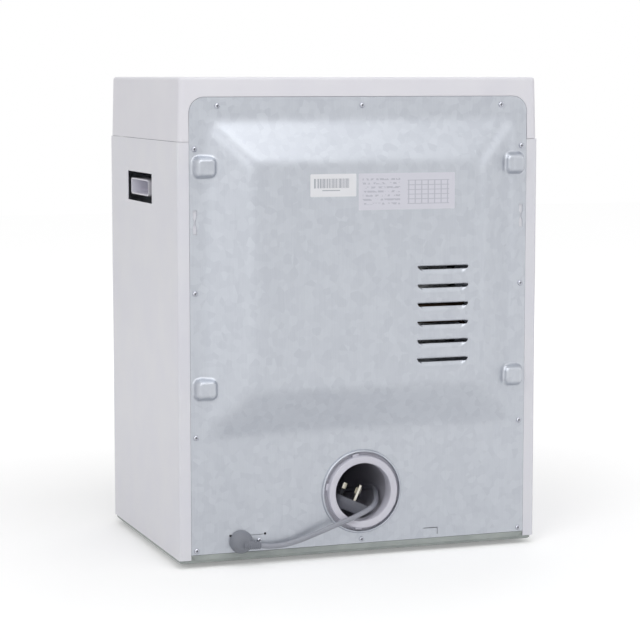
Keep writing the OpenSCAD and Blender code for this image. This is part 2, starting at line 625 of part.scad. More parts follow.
// ---- drive ----
module belt_outline(grow) hull() {         // the drum and the motor pulley, wrapped by the belt
    translate([0, drum_z]) circle(drum_r + grow, $fn = 144);
    translate([motor_x, motor_z]) circle(pulley_r + grow, $fn = 48);
}
module drive_belt() color("#2b2c2f") upright(belt_y, belt_y + belt_w) difference() {
    belt_outline(gap + belt_t);
    belt_outline(gap);
}
module motor_body() color("#7b7f86") difference() {
    union() {
        y_cyl(motor_r, motor_y0 + 12, motor_y1 - 12, motor_x, motor_z);
        y_cyl(motor_r - 3, motor_y0, motor_y1, motor_x, motor_z);
        y_cyl(rotor_r + 6, motor_y0 - 5, motor_y1 + 5, motor_x, motor_z);
    }
    y_cyl(rotor_r + run, motor_y0 - 7, motor_y0 + 2, motor_x, motor_z);
    y_cyl(rotor_r + 2, motor_y0 + 1, motor_y1 - 1, motor_x, motor_z);
    y_cyl(rotor_r + run, motor_y1 - 2, motor_y1 + 7, motor_x, motor_z);
}
module motor_shaft() color("#b9bcc4") y_cyl(rotor_r, fan_y0 + 6, belt_y + belt_w + 6, motor_x, motor_z);
module motor_pulley() color("#9a9da3") y_turned(motor_x, motor_z)
    polygon([[rotor_r, belt_y - 4], [pulley_r + 3, belt_y - 4], [pulley_r + 3, belt_y - 1],
        [pulley_r, belt_y - 1],
        [pulley_r, belt_y + belt_w + 1], [pulley_r + 3, belt_y + belt_w + 1],
        [pulley_r + 3, belt_y + belt_w + 4], [rotor_r, belt_y + belt_w + 4]]);
module motor_cradle() color("#b9bdc4") difference() {
    union() {
        box(motor_x - 36, motor_x + 36, motor_y0 + 16, motor_y1 - 16, floor_z, floor_z + 3);
        for (y = [motor_y0 + 16, motor_y1 - 20])
            box(motor_x - 32, motor_x + 32, y, y + 4, floor_z, motor_z - 10);
    }
    y_cyl(motor_r + gap / 3, motor_y0, motor_y1, motor_x, motor_z);
}

module idler_bracket() color("#b9bdc4") {
    box(pivot_x - 14, pivot_x + 14, belt_y - 30, belt_y - 8, floor_z, floor_z + 3);
    box(pivot_x - 9, pivot_x + 9, belt_y - 15, belt_y - 12, floor_z, pivot_z + 9);
    y_cyl(4, belt_y - 12, belt_y + 1, pivot_x, pivot_z);
}
module idler_arm() color("#8f9296") {
    arm_a = atan2(idler_z - pivot_z, idler_x - pivot_x);
    difference() {
        union() {
            translate([pivot_x, belt_y - 3 - gap, pivot_z]) rotate([0, -arm_a, 0])
                translate([0, -3, -7]) cube([norm([idler_x - pivot_x, idler_z - pivot_z]), 3, 14]);
            y_cyl(9, belt_y - 6 - gap, belt_y - 3 - gap, pivot_x, pivot_z);
            y_cyl(8, belt_y - 6 - gap, belt_y - 3 - gap, idler_x, idler_z);
        }
        y_cyl(4 + run, belt_y - 12, belt_y + 1, pivot_x, pivot_z);
    }
    y_cyl(3, belt_y - 3 - gap, belt_y + belt_w + 2, idler_x, idler_z);
}
module idler_pulley() color("#e8e8ee")
    y_ring(3 + run, idler_r, belt_y - 1, belt_y + belt_w + 1, idler_x, idler_z);
module idler_spring() color("#9a9da3")
    tube([for (i = [0:42]) let (a = 30 * i)
        [pivot_x + 5.6 * cos(a), belt_y - 11.1 + 0.085 * i, pivot_z + 5.6 * sin(a)]], 0.6, 6);

// ---- air path ----
module fan_impeller() color("#e8e8ee") difference() {
    y_in = fan_y0 + 8;
    y_out = fan_y1 - 6;
    union() {
        y_cyl(fan_r, y_out - 2, y_out, motor_x, motor_z);
        y_cyl(rotor_r + 5, y_in + 6, y_out, motor_x, motor_z);
        y_ring(fan_r - 12, fan_r, y_in, y_in + 2, motor_x, motor_z);
        for (i = [0:19]) translate([motor_x, 0, motor_z]) rotate([0, 18 * i, 0])
            translate([fan_r - 11.3, y_in + 0.5, 0]) rotate([0, 25, 0]) cube([10, y_out - y_in - 1, 1.6]);
    }
    y_cyl(rotor_r, fan_y0, fan_y1, motor_x, motor_z);
}
module fan_housing() color("#d5d6da") difference() {
    union() {
        y_cyl(scroll_r, fan_y0, fan_y1, motor_x, motor_z);
        box(motor_x, 0, fan_y0, fan_y1, scroll_z0, scroll_z0 + outlet_h);
        box(motor_x - 20, motor_x + 20, fan_y0 + 10, fan_y1 - 10, floor_z, scroll_z0 + 12);
    }
    y_cyl(scroll_r - shell, fan_y0 + shell, fan_y1 - shell, motor_x, motor_z);
    box(motor_x, cut, fan_y0 + shell, fan_y1 - shell, scroll_z0 + shell, scroll_z0 + outlet_h - shell);
    y_cyl(fan_r - 12, fan_y0 - cut, fan_y0 + 3, motor_x, motor_z);
    y_cyl(rotor_r + 4, fan_y1 - 3, fan_y1 + cut, motor_x, motor_z);
    y_cyl(duct_ro + gap, fan_y0 - cut, fan_y1 + cut, 0, vent_z);
}
module front_duct() color("#d5d6da") {
    low_z0 = motor_z - 48;
    low_z1 = bulk_z0 - 1;
    y0 = front_y + sheet + gap;
    x0 = motor_x - 47;
    x1 = filter_w / 2 + 6;
    top_z = drum_z - opening_r - sheet - gap;
    difference() {
        union() {
            box(x0, x1, y0, fan_y0 - gap, low_z0, low_z1);
            box(-x1, x1, y0, bulk_y - gap, low_z1 - cut, top_z);
        }
        box(x0 + shell, x1 - shell, y0 + shell, fan_y0 - gap - shell, low_z0 + shell, low_z1 - shell);
        box(-x1 + shell, x1 - shell, y0 + shell - gap / 2, bulk_y - gap - shell, low_z0 + shell, top_z + cut);
        y_cyl(fan_r - 12, fan_y0 - 4, fan_y0 + cut, motor_x, motor_z);
    }
    for (x = [-1, 1]) translate([x * (x1 - 6), 0, 0])
        box(-5, 5, y0 + shell - gap, bulk_y - shell, filter_z0 - gap - 3, filter_z0 - gap);
}
module lint_filter() color("#c7d2dc") {
    y0 = front_y + sheet + 2.5;
    y1 = bulk_y - 2.5;
    z1 = filter_z0 + filter_h;
    z0 = filter_z0;
    difference() {
        box(-filter_w / 2, filter_w / 2, y0, y1, z0, z1);
        for (i = [0:2]) box(-filter_w / 2 + 5 + i * 38, -filter_w / 2 + 39 + i * 38,
            y0 - cut, y1 - 1.2, z0 + 5, z1 - 14);
        for (i = [0:2], k = [0:10]) box(-filter_w / 2 + 7 + i * 38, -filter_w / 2 + 37 + i * 38,
            y1 - 2, y1 + cut, z0 + 8 + 5.6 * k, z0 + 11 + 5.6 * k);
    }
}
module exhaust_duct() color("#d5d6da") difference() {
    union() {
        y_cyl(duct_ro, duct_y0, duct_y1, 0, vent_z);
        y_cyl(ring_r + 9, duct_y1 - 2, duct_y1, 0, vent_z);
        box(-12, 12, back_y - 60, back_y - 30, floor_z, vent_z - duct_r);
        box(-12, 12, fan_y1 + 20, fan_y1 + 50, floor_z, vent_z - duct_r);
    }
    y_cyl(duct_r, duct_y0 + duct_wall, duct_y1 + cut, 0, vent_z);
    box(-duct_ro - cut, 0, fan_y0 + shell, fan_y1 - shell, scroll_z0 + shell, scroll_z0 + outlet_h - shell);
}
module vent_ring() color("#e6e6f0") {
    y_turned(0, vent_z) polygon([[ring_bore_r + 2, back_y + ring_out], [ring_r - 1.5, back_y + ring_out],
        [ring_r, back_y + ring_out - 1.5], [ring_r, duct_y1 + gap / 3], [duct_r - gap, duct_y1 + gap / 3],
        [duct_r - gap, back_y - 19], [duct_r - 2.5, back_y - 19], [ring_bore_r, back_y - 8],
        [ring_bore_r, back_y + ring_out - 2]]);
    for (a = [80, 10, 200, 275]) translate([0, 0, vent_z]) rotate([0, -a, 0])
        box(ring_r - 1, ring_r + 3.4, back_y - 1, back_y + 1, -4, 4);
}
module heater_housing() color("#b9bdc4") difference() {
    y0 = rear_bulk_y + sheet;
    x0 = heater_x - heater_w / 2;
    x1 = heater_x + heater_w / 2;
    z0 = heater_z - heater_h / 2;
    z1 = heater_z + heater_h / 2;
    box(x0, x1, y0, heater_y1, z0, z1);
    box(x0 + sheet, x1 - sheet, y0 - cut, heater_y1 + cut, z0 + sheet, z1 - sheet);
}
module heater_element() color("#6e5a4a") {
    y = (rear_bulk_y + heater_y1) / 2;
    reach = heater_w / 2 - rod_pitch / 2 - 5;
    z0 = heater_z - (heater_rods - 1) * rod_pitch / 2;
    for (i = [0:heater_rods - 1]) {
        end_x = (i == 0 || i == heater_rods - 1) ? heater_w / 2 - sheet : reach;
        translate([heater_x - end_x, y, z0 + i * rod_pitch]) rotate([0, 90, 0])
            cylinder(r = 3, h = end_x + reach);
    }
    for (i = [0:heater_rods - 2]) let (side = i % 2 == 0 ? 1 : -1)
        translate([heater_x + side * reach, y, z0 + (i + 0.5) * rod_pitch]) rotate([90, 0, 0])
            rotate([0, 0, -90 * side]) rotate_extrude(angle = 180) translate([rod_pitch / 2, 0]) circle(3);
}
module capacitor() color("#d5d6da") {
    translate([hw - 90, -40, floor_z]) cylinder(r = 18, h = 68);
    translate([hw - 90, -40, floor_z]) cylinder(r = 22, h = 6);
}
module terminal_block() color("#e8e8ee") {
    box(gland_x - 20, gland_x + 20, skin_y - 24, skin_y, gland_z + 22, gland_z + 42);
}

// ---- power cord ----
module cord_grip() color("#8d9098") {
    y_turned(gland_x, gland_z) polygon([[0, back_y], [gland_r, back_y], [gland_r, back_y + 5],
        [gland_r - 2, back_y + 10], [gland_r - 5.5, back_y + 13.5], [0, back_y + 15]]);
    y_cyl(gland_r - 4.5, skin_y - 6, back_y, gland_x, gland_z);
    exit = cord_out[0];
    way = unit(cord_out[0] - cord_out[1]);
    translate(exit) rotate([0, atan2(way[0], way[2]), 0]) cylinder(r1 = cord_d / 2 + 0.8, r2 = 6.4, h = 16);
}
module power_cord() color("#9c9fa8") {
    tube(concat(cord_out, helix(loose_a, loose_y, coil_y, loose_turns, 20)), cord_d / 2, 10);
    tube(cord_back, cord_d / 2, 10);
}
module cord_coil() color("#9c9fa8") y_ring(coil_r - cord_d / 2, coil_r + cord_d / 2,
    coil_y - cord_d / 2, coil_y + coil_turns * coil_pitch + cord_d / 2, 0, coil_z);
module plug_place() translate([plug_x, plug_y, plug_z]) rotate([0, plug_turn, 0]) children();
module power_plug() color("#9c9fa8") {
    plug_place() hull() {
        translate([0, 0, -6]) linear_extrude(6) rounded(plug_w, plug_w, 9, $fn = 32);
        translate([0, 0, -plug_t]) linear_extrude(1) rounded(plug_w - 9, plug_w - 9, 8, $fn = 32);
    }
    end = cord_back[len(cord_back) - 1];
    y_turned(end[0], end[2]) polygon([[0, end[1]], [cord_d / 2 + 0.8, end[1]], [7, plug_y - plug_w / 2 + 3],
        [0, plug_y - plug_w / 2 + 3]]);
}
module plug_pins() color("#c8b070") plug_place() {
    translate([-2, plug_w / 2 - 14, 0]) cube([4, 8, 22.7]);
    for (x = [-1, 1]) translate([x * 11.1 - 3.2, plug_w / 2 - 34.2, 0]) cube([6.4, 4, 17.7]);
}

base_pan();
feet();
side_panel_left();
side_panel_right();
grip_left();
grip_right();
rear_panel();
rear_screws();
rating_labels();
front_panel();
top_cover();
control_fascia();
timer_knob();
heat_knob();
start_button();
control_switches();
door_outer();
door_liner();
door_window();
door_seal();
door_catch();
hinge_bracket();
hinge_pin();
door_latch();
door_plunger();
drum_shell();
drum_back();
drum_lifters();
drum_shaft();
rear_bearing();
bearing_housing();
front_bulkhead();
rear_bulkhead();
drum_seals();
glide_pads();
drive_belt();
motor_body();
motor_shaft();
motor_pulley();
motor_cradle();
idler_bracket();
idler_arm();
idler_pulley();
idler_spring();
fan_impeller();
fan_housing();
front_duct();
lint_filter();
exhaust_duct();
vent_ring();
heater_housing();
heater_element();
capacitor();
terminal_block();
cord_grip();
power_cord();
cord_coil();
power_plug();
plug_pins();
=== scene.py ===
import math

import bmesh
import bpy
from mathutils import Matrix, Vector


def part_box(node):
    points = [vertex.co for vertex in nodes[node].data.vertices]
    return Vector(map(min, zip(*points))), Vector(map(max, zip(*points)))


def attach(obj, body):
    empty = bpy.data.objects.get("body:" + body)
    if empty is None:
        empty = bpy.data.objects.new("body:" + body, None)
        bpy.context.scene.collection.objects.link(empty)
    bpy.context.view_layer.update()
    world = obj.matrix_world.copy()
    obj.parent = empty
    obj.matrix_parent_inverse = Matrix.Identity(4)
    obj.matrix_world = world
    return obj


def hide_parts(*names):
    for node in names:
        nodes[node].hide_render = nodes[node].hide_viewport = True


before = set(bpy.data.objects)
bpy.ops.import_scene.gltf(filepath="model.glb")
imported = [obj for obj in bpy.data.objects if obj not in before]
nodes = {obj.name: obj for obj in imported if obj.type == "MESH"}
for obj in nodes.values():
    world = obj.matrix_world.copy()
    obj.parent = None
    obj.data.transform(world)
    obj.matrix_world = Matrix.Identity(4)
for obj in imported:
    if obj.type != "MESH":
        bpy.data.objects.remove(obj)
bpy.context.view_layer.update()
mm = 0.001
scene = bpy.context.scene
print("frame loaded")

# camera
cameraSettings = {"place": (1.008, 2.829, 0.6267), "looks": (-0.3344, -0.9360, -0.1101), "lens": 124.1}
lensBody = bpy.data.cameras.new("camera")
lensBody.lens = cameraSettings["lens"]
lensBody.sensor_width = 36
lensBody.clip_end = 50
camera = bpy.data.objects.new("camera", lensBody)
camera.location = cameraSettings["place"]
camera.rotation_mode = "QUATERNION"
camera.rotation_quaternion = Vector(cameraSettings["looks"]).to_track_quat("-Z", "Y")
scene.collection.objects.link(camera)
scene.camera = camera


# materials: small helpers
def toLinear(text):  # "#rrggbb" as a linear colour
    parts = [int(text[i:i + 2], 16) / 255 for i in (1, 3, 5)]
    return [c / 12.92 if c <= 0.04045 else ((c + 0.055) / 1.055) ** 2.4 for c in parts] + [1.0]


def addNode(tree, kind, values=None, links=None, **settings):
    node = tree.nodes.new(kind)
    for name, value in settings.items():
        setattr(node, name, value)
    for name, value in (values or {}).items():
        node.inputs[name].default_value = value
    for name, source in (links or {}).items():
        tree.links.new(source, node.inputs[name])
    return node


def newMaterial(name, colour, rough, metal=0.0, more=None):
    material = bpy.data.materials.new(name)
    material.use_nodes = True
    tree = material.node_tree
    shader = tree.nodes["Principled BSDF"]
    shader.inputs["Base Color"].default_value = toLinear(colour)
    shader.inputs["Roughness"].default_value = rough
    shader.inputs["Metallic"].default_value = metal
    for key, value in (more or {}).items():
        shader.inputs[key].default_value = value
    place = addNode(tree, "ShaderNodeTexCoord").outputs["Object"]
    return material, tree, shader, place


def grain(tree, place, size, detail=2.0, stretch=(1, 1, 1)):  # noise with spots about size mm across
    scaled = addNode(tree, "ShaderNodeMapping", {"Scale": stretch}, {"Vector": place}).outputs["Vector"]
    return addNode(tree, "ShaderNodeTexNoise", {"Scale": 1 / (size * mm), "Detail": detail},
                   {"Vector": scaled}).outputs["Fac"]


def tone(tree, shader, factor, dark, light, socket="Base Color", low=0.35, high=0.65):
    ramp = addNode(tree, "ShaderNodeValToRGB", links={"Fac": factor}).color_ramp
    for stop, at, value in zip(ramp.elements, (low, high), (dark, light)):
        stop.position = at
        stop.color = toLinear(value) if isinstance(value, str) else [value, value, value, 1]
    tree.links.new(tree.nodes[-1].outputs["Color"], shader.inputs[socket])


def bump(tree, shader, height, depth, strength=1.0):
    node = addNode(tree, "ShaderNodeBump", {"Distance": depth * mm, "Strength": strength}, {"Height": height})
    tree.links.new(node.outputs["Normal"], shader.inputs["Normal"])


def finish(name, colour, other, rough, grit, depth, metal=0.0, patch=60, stretch=(1, 1, 1), more=None):
    # two close colours in soft patches, with a grit of the given size in the gloss and the surface
    material, tree, shader, place = newMaterial(name, colour, rough, metal, more)
    tone(tree, shader, grain(tree, place, patch), colour, other)
    fine = grain(tree, place, grit, 3.0, stretch)
    tone(tree, shader, fine, max(rough - 0.05, 0.04), min(rough + 0.06, 1.0), "Roughness")
    bump(tree, shader, fine, depth)
    return material


def step(tree, value, edge, above):
    return addNode(tree, "ShaderNodeMath", {1: edge}, {0: value},
                   operation="GREATER_THAN" if above else "LESS_THAN").outputs[0]


def times(tree, a, b):
    return addNode(tree, "ShaderNodeMath", {}, {0: a, 1: b}, operation="MULTIPLY").outputs[0]


def window(tree, value, low, high):  # 1 between low and high
    return times(tree, step(tree, value, low, True), step(tree, value, high, False))


def wave(tree, value, pitch):  # 0 to 1 and back every pitch mm
    turned = addNode(tree, "ShaderNodeMath", {1: 2 * math.pi / (pitch * mm)}, {0: value}, operation="MULTIPLY")
    sine = addNode(tree, "ShaderNodeMath", {}, {0: turned.outputs[0]}, operation="SINE")
    halved = addNode(tree, "ShaderNodeMath", {1: 0.5, 2: 0.5}, {0: sine.outputs[0]}, operation="MULTIPLY_ADD")
    return halved.outputs[0]


zinc = {"spangle": 9, "rollLines": 0.8, "skin": 1.5}  # sizes across, in millimetres


def galvanisedSteel():  # hot-dip zinc on pressed sheet: faint spangle, faint rolling lines, satin glare
    material, tree, shader, place = newMaterial("galvanisedSteelPressed", "#ced2db", 0.4, 0.8)
    cells = addNode(tree, "ShaderNodeTexVoronoi", {"Scale": 1 / (zinc["spangle"] * mm)}, {"Vector": place})
    rolled = grain(tree, place, zinc["rollLines"], 2.0, (1, 1, 0.02))
    mixed = addNode(tree, "ShaderNodeMix", {"Factor": 0.5},
                    {"A": cells.outputs["Color"], "B": rolled}, data_type="FLOAT").outputs["Result"]
    tone(tree, shader, mixed, "#b9bdc5", "#c4c8cf", low=0.25, high=0.75)
    tone(tree, shader, mixed, 0.36, 0.46, "Roughness", 0.2, 0.8)
    bump(tree, shader, grain(tree, place, zinc["skin"], 3.0), 0.012)
    return material


def brushedSteel(name, colour, stretch, rough=0.3):  # rolled stainless: fine lines along the roll
    material, tree, shader, place = newMaterial(name, colour, rough, 1.0)
    lines = grain(tree, place, 0.6, 3.0, stretch)
    tone(tree, shader, lines, rough - 0.06, rough + 0.1, "Roughness")
    tone(tree, shader, grain(tree, place, 50), colour, "#d8dade")
    bump(tree, shader, lines, 0.01)
    return material


def smokedGlass():  # toughened glass tinted dark brown-grey, polished
    more = {"Transmission Weight": 0.85, "IOR": 1.5, "Coat Weight": 0.3, "Coat Roughness": 0.03}
    material, tree, shader, place = newMaterial("smokedGlassPolished", "#4c5058", 0.06, 0.0, more)
    tone(tree, shader, grain(tree, place, 30), 0.04, 0.08, "Roughness")
    return material


# printed areas of the labels: x from and to, then how far below the top edge they start and end
labels = {"bars": (30, 77, 6, 18), "rule": (42, 66, 20.5, 21.5), "rows": (-40, 12, 6, 41),
          "grid": (-108, -50, 9, 40), "barWidth": 1.1, "rowPitch": 5.2, "wordSize": 4,
          "gridPitch": (9.0, 6.0), "corner": 1.5}


def printedArea(tree, x, z, part):
    x0, x1, start, end = labels[part]
    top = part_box("rating_labels")[1].z
    return times(tree, window(tree, x, x0 * mm, x1 * mm), window(tree, z, top - end * mm, top - start * mm))


def either(tree, a, b):
    return addNode(tree, "ShaderNodeMath", {}, {0: a, 1: b}, operation="MAXIMUM").outputs[0]


def barLabel():  # white coated paper with a block of upright bars and one faint rule
    material, tree, shader, place = newMaterial("paperLabelPrinted", "#f1f2f6", 0.45)
    split = addNode(tree, "ShaderNodeSeparateXYZ", links={"Vector": place})
    x, z = split.outputs["X"], split.outputs["Z"]
    bars = addNode(tree, "ShaderNodeTexNoise", {"Scale": 1 / (labels["barWidth"] * mm), "Detail": 0.0},
                   {"W": x}, noise_dimensions="1D").outputs["Fac"]
    ink = times(tree, step(tree, bars, 0.5, True), printedArea(tree, x, z, "bars"))
    printed = either(tree, ink, printedArea(tree, x, z, "rule"))
    tone(tree, shader, printed, "#f1f2f6", "#a9acb6", low=0.0, high=1.0)
    bump(tree, shader, grain(tree, place, 0.3), 0.01)
    return material


def ruledLabel():  # pale film with short faint rows on one side and a faint ruled grid on the other
    material, tree, shader, place = newMaterial("filmLabelPrinted", "#e4e4ee", 0.4)
    split = addNode(tree, "ShaderNodeSeparateXYZ", links={"Vector": place})
    x, z = split.outputs["X"], split.outputs["Z"]
    rows = step(tree, wave(tree, z, labels["rowPitch"]), 0.55, True)
    words = addNode(tree, "ShaderNodeTexNoise", {"Scale": 1 / (labels["wordSize"] * mm), "Detail": 1.0},
                    {"Vector": place}).outputs["Fac"]
    left = times(tree, times(tree, rows, step(tree, words, 0.5, True)), printedArea(tree, x, z, "rows"))
    across, up = labels["gridPitch"]
    grid = either(tree, step(tree, wave(tree, x, across), 0.93, True), step(tree, wave(tree, z, up), 0.93, True))
    printed = either(tree, left, times(tree, grid, printedArea(tree, x, z, "grid")))
    tone(tree, shader, printed, "#e0e0ea", "#c6c7d2", low=0.0, high=1.0)
    bump(tree, shader, grain(tree, place, 0.4), 0.01)
    return material


steelWhite = finish("coldRolledSteelPowderCoated", "#ebebf1", "#e8e8f0", 0.36, 1.4, 0.02)  # faint orange peel
absWhite = finish("absMouldedSatin", "#efeef4", "#ecebf2", 0.42, 0.9, 0.015)  # soft sheen, fine spark grain
absGrip = finish("absGripMoulded", "#e4e3ec", "#dfdee8", 0.5, 0.7, 0.03)  # a little greyer, more grain
fasciaWhite = finish("absFasciaMoulded", "#e2e3e9", "#dddee5", 0.35, 0.7, 0.012)
knobWhite = finish("absKnobMoulded", "#e6e7ec", "#dfe0e6", 0.3, 0.6, 0.01)
galvanised = galvanisedSteel()
screwZinc = finish("steelScrewZincPlated", "#c9cbd2", "#b4b6bf", 0.28, 0.5, 0.02, 1.0, 3)  # bright, blotched
panSteel = finish("aluzincSheetPan", "#a9afac", "#9ea4a2", 0.5, 1.2, 0.03, 0.35, 25)  # greenish, dull
rubberDark = finish("epdmRubberMoulded", "#4a4c50", "#3f4145", 0.75, 0.5, 0.05)  # matt, dusty
rubberGrey = finish("pvcGlandMoulded", "#8a8d95", "#82858e", 0.5, 0.5, 0.04)
cordGrey = finish("pvcSheathExtruded", "#a3a5ae", "#9b9da7", 0.42, 0.5, 0.02, 0.0, 30)  # soft gloss
plugGrey = finish("pvcPlugMoulded", "#85878f", "#7d7f88", 0.5, 0.5, 0.03)
pinBrass = finish("brassNickelPlated", "#d9d6cc", "#cfcbbd", 0.2, 0.4, 0.01, 1.0, 8)  # bright, drawn lines
ringWhite = finish("absRingMoulded", "#dddce6", "#d8d7e2", 0.4, 0.8, 0.015)
ductWhite = finish("polypropyleneDuctMoulded", "#c9c8d1", "#c0bfc9", 0.45, 0.8, 0.02)
linerWhite = finish("absLinerVacuumFormed", "#dcdde3", "#d5d6dd", 0.35, 1.5, 0.02)
darkPlastic = finish("polyamideMouldedBlack", "#3c3e44", "#34363b", 0.5, 0.5, 0.03)
nylonWhite = finish("nylonMouldedNatural", "#e6e5df", "#dddcd4", 0.5, 0.6, 0.02)
feltGrey = finish("woolFeltPressed", "#7d7f84", "#6c6e74", 0.95, 0.6, 0.25, 0.0, 6)
beltRubber = finish("neopreneBeltRibbed", "#2b2c2f", "#232427", 0.6, 1.2, 0.2, 0.0, 30, (0.05, 1, 0.05))
castIron = finish("aluminiumCast", "#8f9296", "#85888d", 0.55, 1.0, 0.12, 0.9)  # grainy die-cast skin
motorSteel = finish("laminatedSteelVarnished", "#777b82", "#6a6e75", 0.45, 0.6, 0.1, 0.8, 20, (0.05, 1, 0.05))
bronze = finish("bronzeSintered", "#b08a4a", "#9c7a40", 0.45, 0.4, 0.05, 1.0, 6)
elementSteel = finish("nickelSteelOxidised", "#6e5a4a", "#544439", 0.55, 0.8, 0.05, 0.9, 10)
canAluminium = finish("aluminiumDrawn", "#c4c6cb", "#b9bbc0", 0.35, 0.6, 0.02, 1.0, 20, (1, 1, 0.05))
meshBlue = finish("polyesterMeshWoven", "#bfcad4", "#b2bec9", 0.8, 0.8, 0.15)
drumSteel = brushedSteel("stainlessSteelRolled", "#c9ccd2", (1, 0.03, 1))
glass = smokedGlass()
labelBars, labelRules = barLabel(), ruledLabel()
inkGrey = finish("inkPrinted", "#5a5d66", "#54575f", 0.5, 0.5, 0.005)
print("materials made")


# shaping: small helpers, all in millimetres until a piece is placed
def box(node):  # corners of a CAD node in millimetres
    lo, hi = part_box(node)
    return lo / mm, hi / mm


def middle(node):  # x and z of a CAD node's centre
    lo, hi = box(node)
    return (lo.x + hi.x) / 2, (lo.z + hi.z) / 2


def place(bm, name, material, body, slot=None, replaces=(), smooth=35, bevel=0.0, weighted=True):
    bmesh.ops.remove_doubles(bm, verts=bm.verts, dist=1e-4)
    bmesh.ops.recalc_face_normals(bm, faces=bm.faces)
    bmesh.ops.scale(bm, vec=(mm, mm, mm), verts=bm.verts)
    mesh = bpy.data.meshes.new(name)
    bm.to_mesh(mesh)
    bm.free()
    mesh.shade_smooth()
    mesh.set_sharp_from_angle(angle=math.radians(smooth))
    mesh.materials.append(material)
    piece = bpy.data.objects.new(name, mesh)
    scene.collection.objects.link(piece)
    if bevel:
        soft = piece.modifiers.new("edges", "BEVEL")
        soft.width = bevel * mm
        soft.segments = 2
        soft.limit_method = "ANGLE"
        soft.angle_limit = math.radians(35)
    if weighted:
        even = piece.modifiers.new("shading", "WEIGHTED_NORMAL")
        even.keep_sharp = True
    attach(piece, body)
    if replaces:
        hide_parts(*replaces)
    return piece


def block(bm, x0, x1, y0, y1, z0, z1):
    made = bmesh.ops.create_cube(bm, size=1)["verts"]
    bmesh.ops.scale(bm, vec=(x1 - x0, y1 - y0, z1 - z0), verts=made)
    bmesh.ops.translate(bm, vec=((x0 + x1) / 2, (y0 + y1) / 2, (z0 + z1) / 2), verts=made)
    return made


def spun(bm, profile, x, z, steps=96):  # profile of (radius, y) turned about the Y axis at x, z
    before = set(bm.verts)
    ring = [bm.verts.new((x + r, y, z)) for r, y in profile]
    onAxis = profile[0][0] == 0 and profile[-1][0] == 0
    edges = [bm.edges.new(pair) for pair in zip(ring, ring[1:] + ([] if onAxis else ring[:1]))]
    bmesh.ops.spin(bm, geom=ring + edges, cent=(x, 0, z), axis=(0, 1, 0), angle=2 * math.pi, steps=steps,
                   use_merge=True)
    bmesh.ops.remove_doubles(bm, verts=[v for v in bm.verts if v not in before], dist=1e-4)
    return [v for v in bm.verts if v not in before]


def drill(bm, radius, y0, y1, x, z, steps=96):  # round solid along Y, to cut with
    spun(bm, [(0, y0), (radius, y0), (radius, y1), (0, y1)], x, z, steps)


def vertsOf(made):  # the points among what an extrusion returns
    return [v for v in made if isinstance(v, bmesh.types.BMVert)]


def turned(bm, verts, angle, axis):  # about an axis through the origin
    bmesh.ops.rotate(bm, cent=(0, 0, 0), matrix=Matrix.Rotation(angle, 3, axis), verts=verts)


def softened(bm, edges, size, segments):
    bmesh.ops.bevel(bm, geom=edges, offset=size, segments=segments, profile=0.5, affect="EDGES", material=-1)


def wholeOf(bm):
    return bm.verts[:] + bm.edges[:] + bm.faces[:]


def arc(cx, cy, r, start, end, count):
    angles = [math.radians(start + (end - start) * i / count) for i in range(count + 1)]
    return [(cx + r * math.cos(a), cy + r * math.sin(a)) for a in angles]


def outlineFace(bm, points, y):
    return bm.faces.new([bm.verts.new((x, y, z)) for x, z in points])


def prism(bm, points, y0, y1):  # outline in x and z, extruded along Y
    made = bmesh.ops.extrude_face_region(bm, geom=[outlineFace(bm, points, y0)])["geom"]
    bmesh.ops.translate(bm, vec=(0, y1 - y0, 0), verts=vertsOf(made))


def roundOutline(cx, cz, w, h, r, count=6):
    points = []
    for sx, sz, start in ((1, 1, 0), (-1, 1, 90), (-1, -1, 180), (1, -1, 270)):
        points += arc(cx + sx * (w / 2 - r), cz + sz * (h / 2 - r), r, start, start + 90, count)
    return points


def cutBy(piece, bm):  # takes the solid bm away from the piece, for good
    bmesh.ops.remove_doubles(bm, verts=bm.verts, dist=1e-4)
    bmesh.ops.recalc_face_normals(bm, faces=bm.faces)
    bmesh.ops.scale(bm, vec=(mm, mm, mm), verts=bm.verts)
    mesh = bpy.data.meshes.new("cutter")
    bm.to_mesh(mesh)
    bm.free()
    cutter = bpy.data.objects.new("cutter", mesh)
    scene.collection.objects.link(cutter)
    kept = list(piece.modifiers)
    hole = piece.modifiers.new("cut", "BOOLEAN")
    hole.operation = "DIFFERENCE"
    hole.solver = "EXACT"
    hole.object = cutter
    for other in kept:
        other.show_viewport = other.show_render = False
    bpy.context.view_layer.update()
    shaped = bpy.data.meshes.new_from_object(piece.evaluated_get(bpy.context.evaluated_depsgraph_get()))
    piece.modifiers.remove(hole)
    old = piece.data
    piece.data = shaped
    shaped.name = old.name
    for other in kept:
        other.show_viewport = other.show_render = True
    bpy.data.objects.remove(cutter)
    shaped.shade_smooth()
    shaped.set_sharp_from_angle(angle=math.radians(35))


panelLo, panelHi = box("rear_panel")
topLo, topHi = box("top_cover")
sideLo, sideHi = box("side_panel_right")
panLo, panHi = box("base_pan")
ringLo, ringHi = box("vent_ring")
frontY, backY = sideLo.y, sideHi.y  # faces of the cabinet
seamZ = sideHi.z  # where the top moulding starts
ventZ = middle("vent_ring")[1]

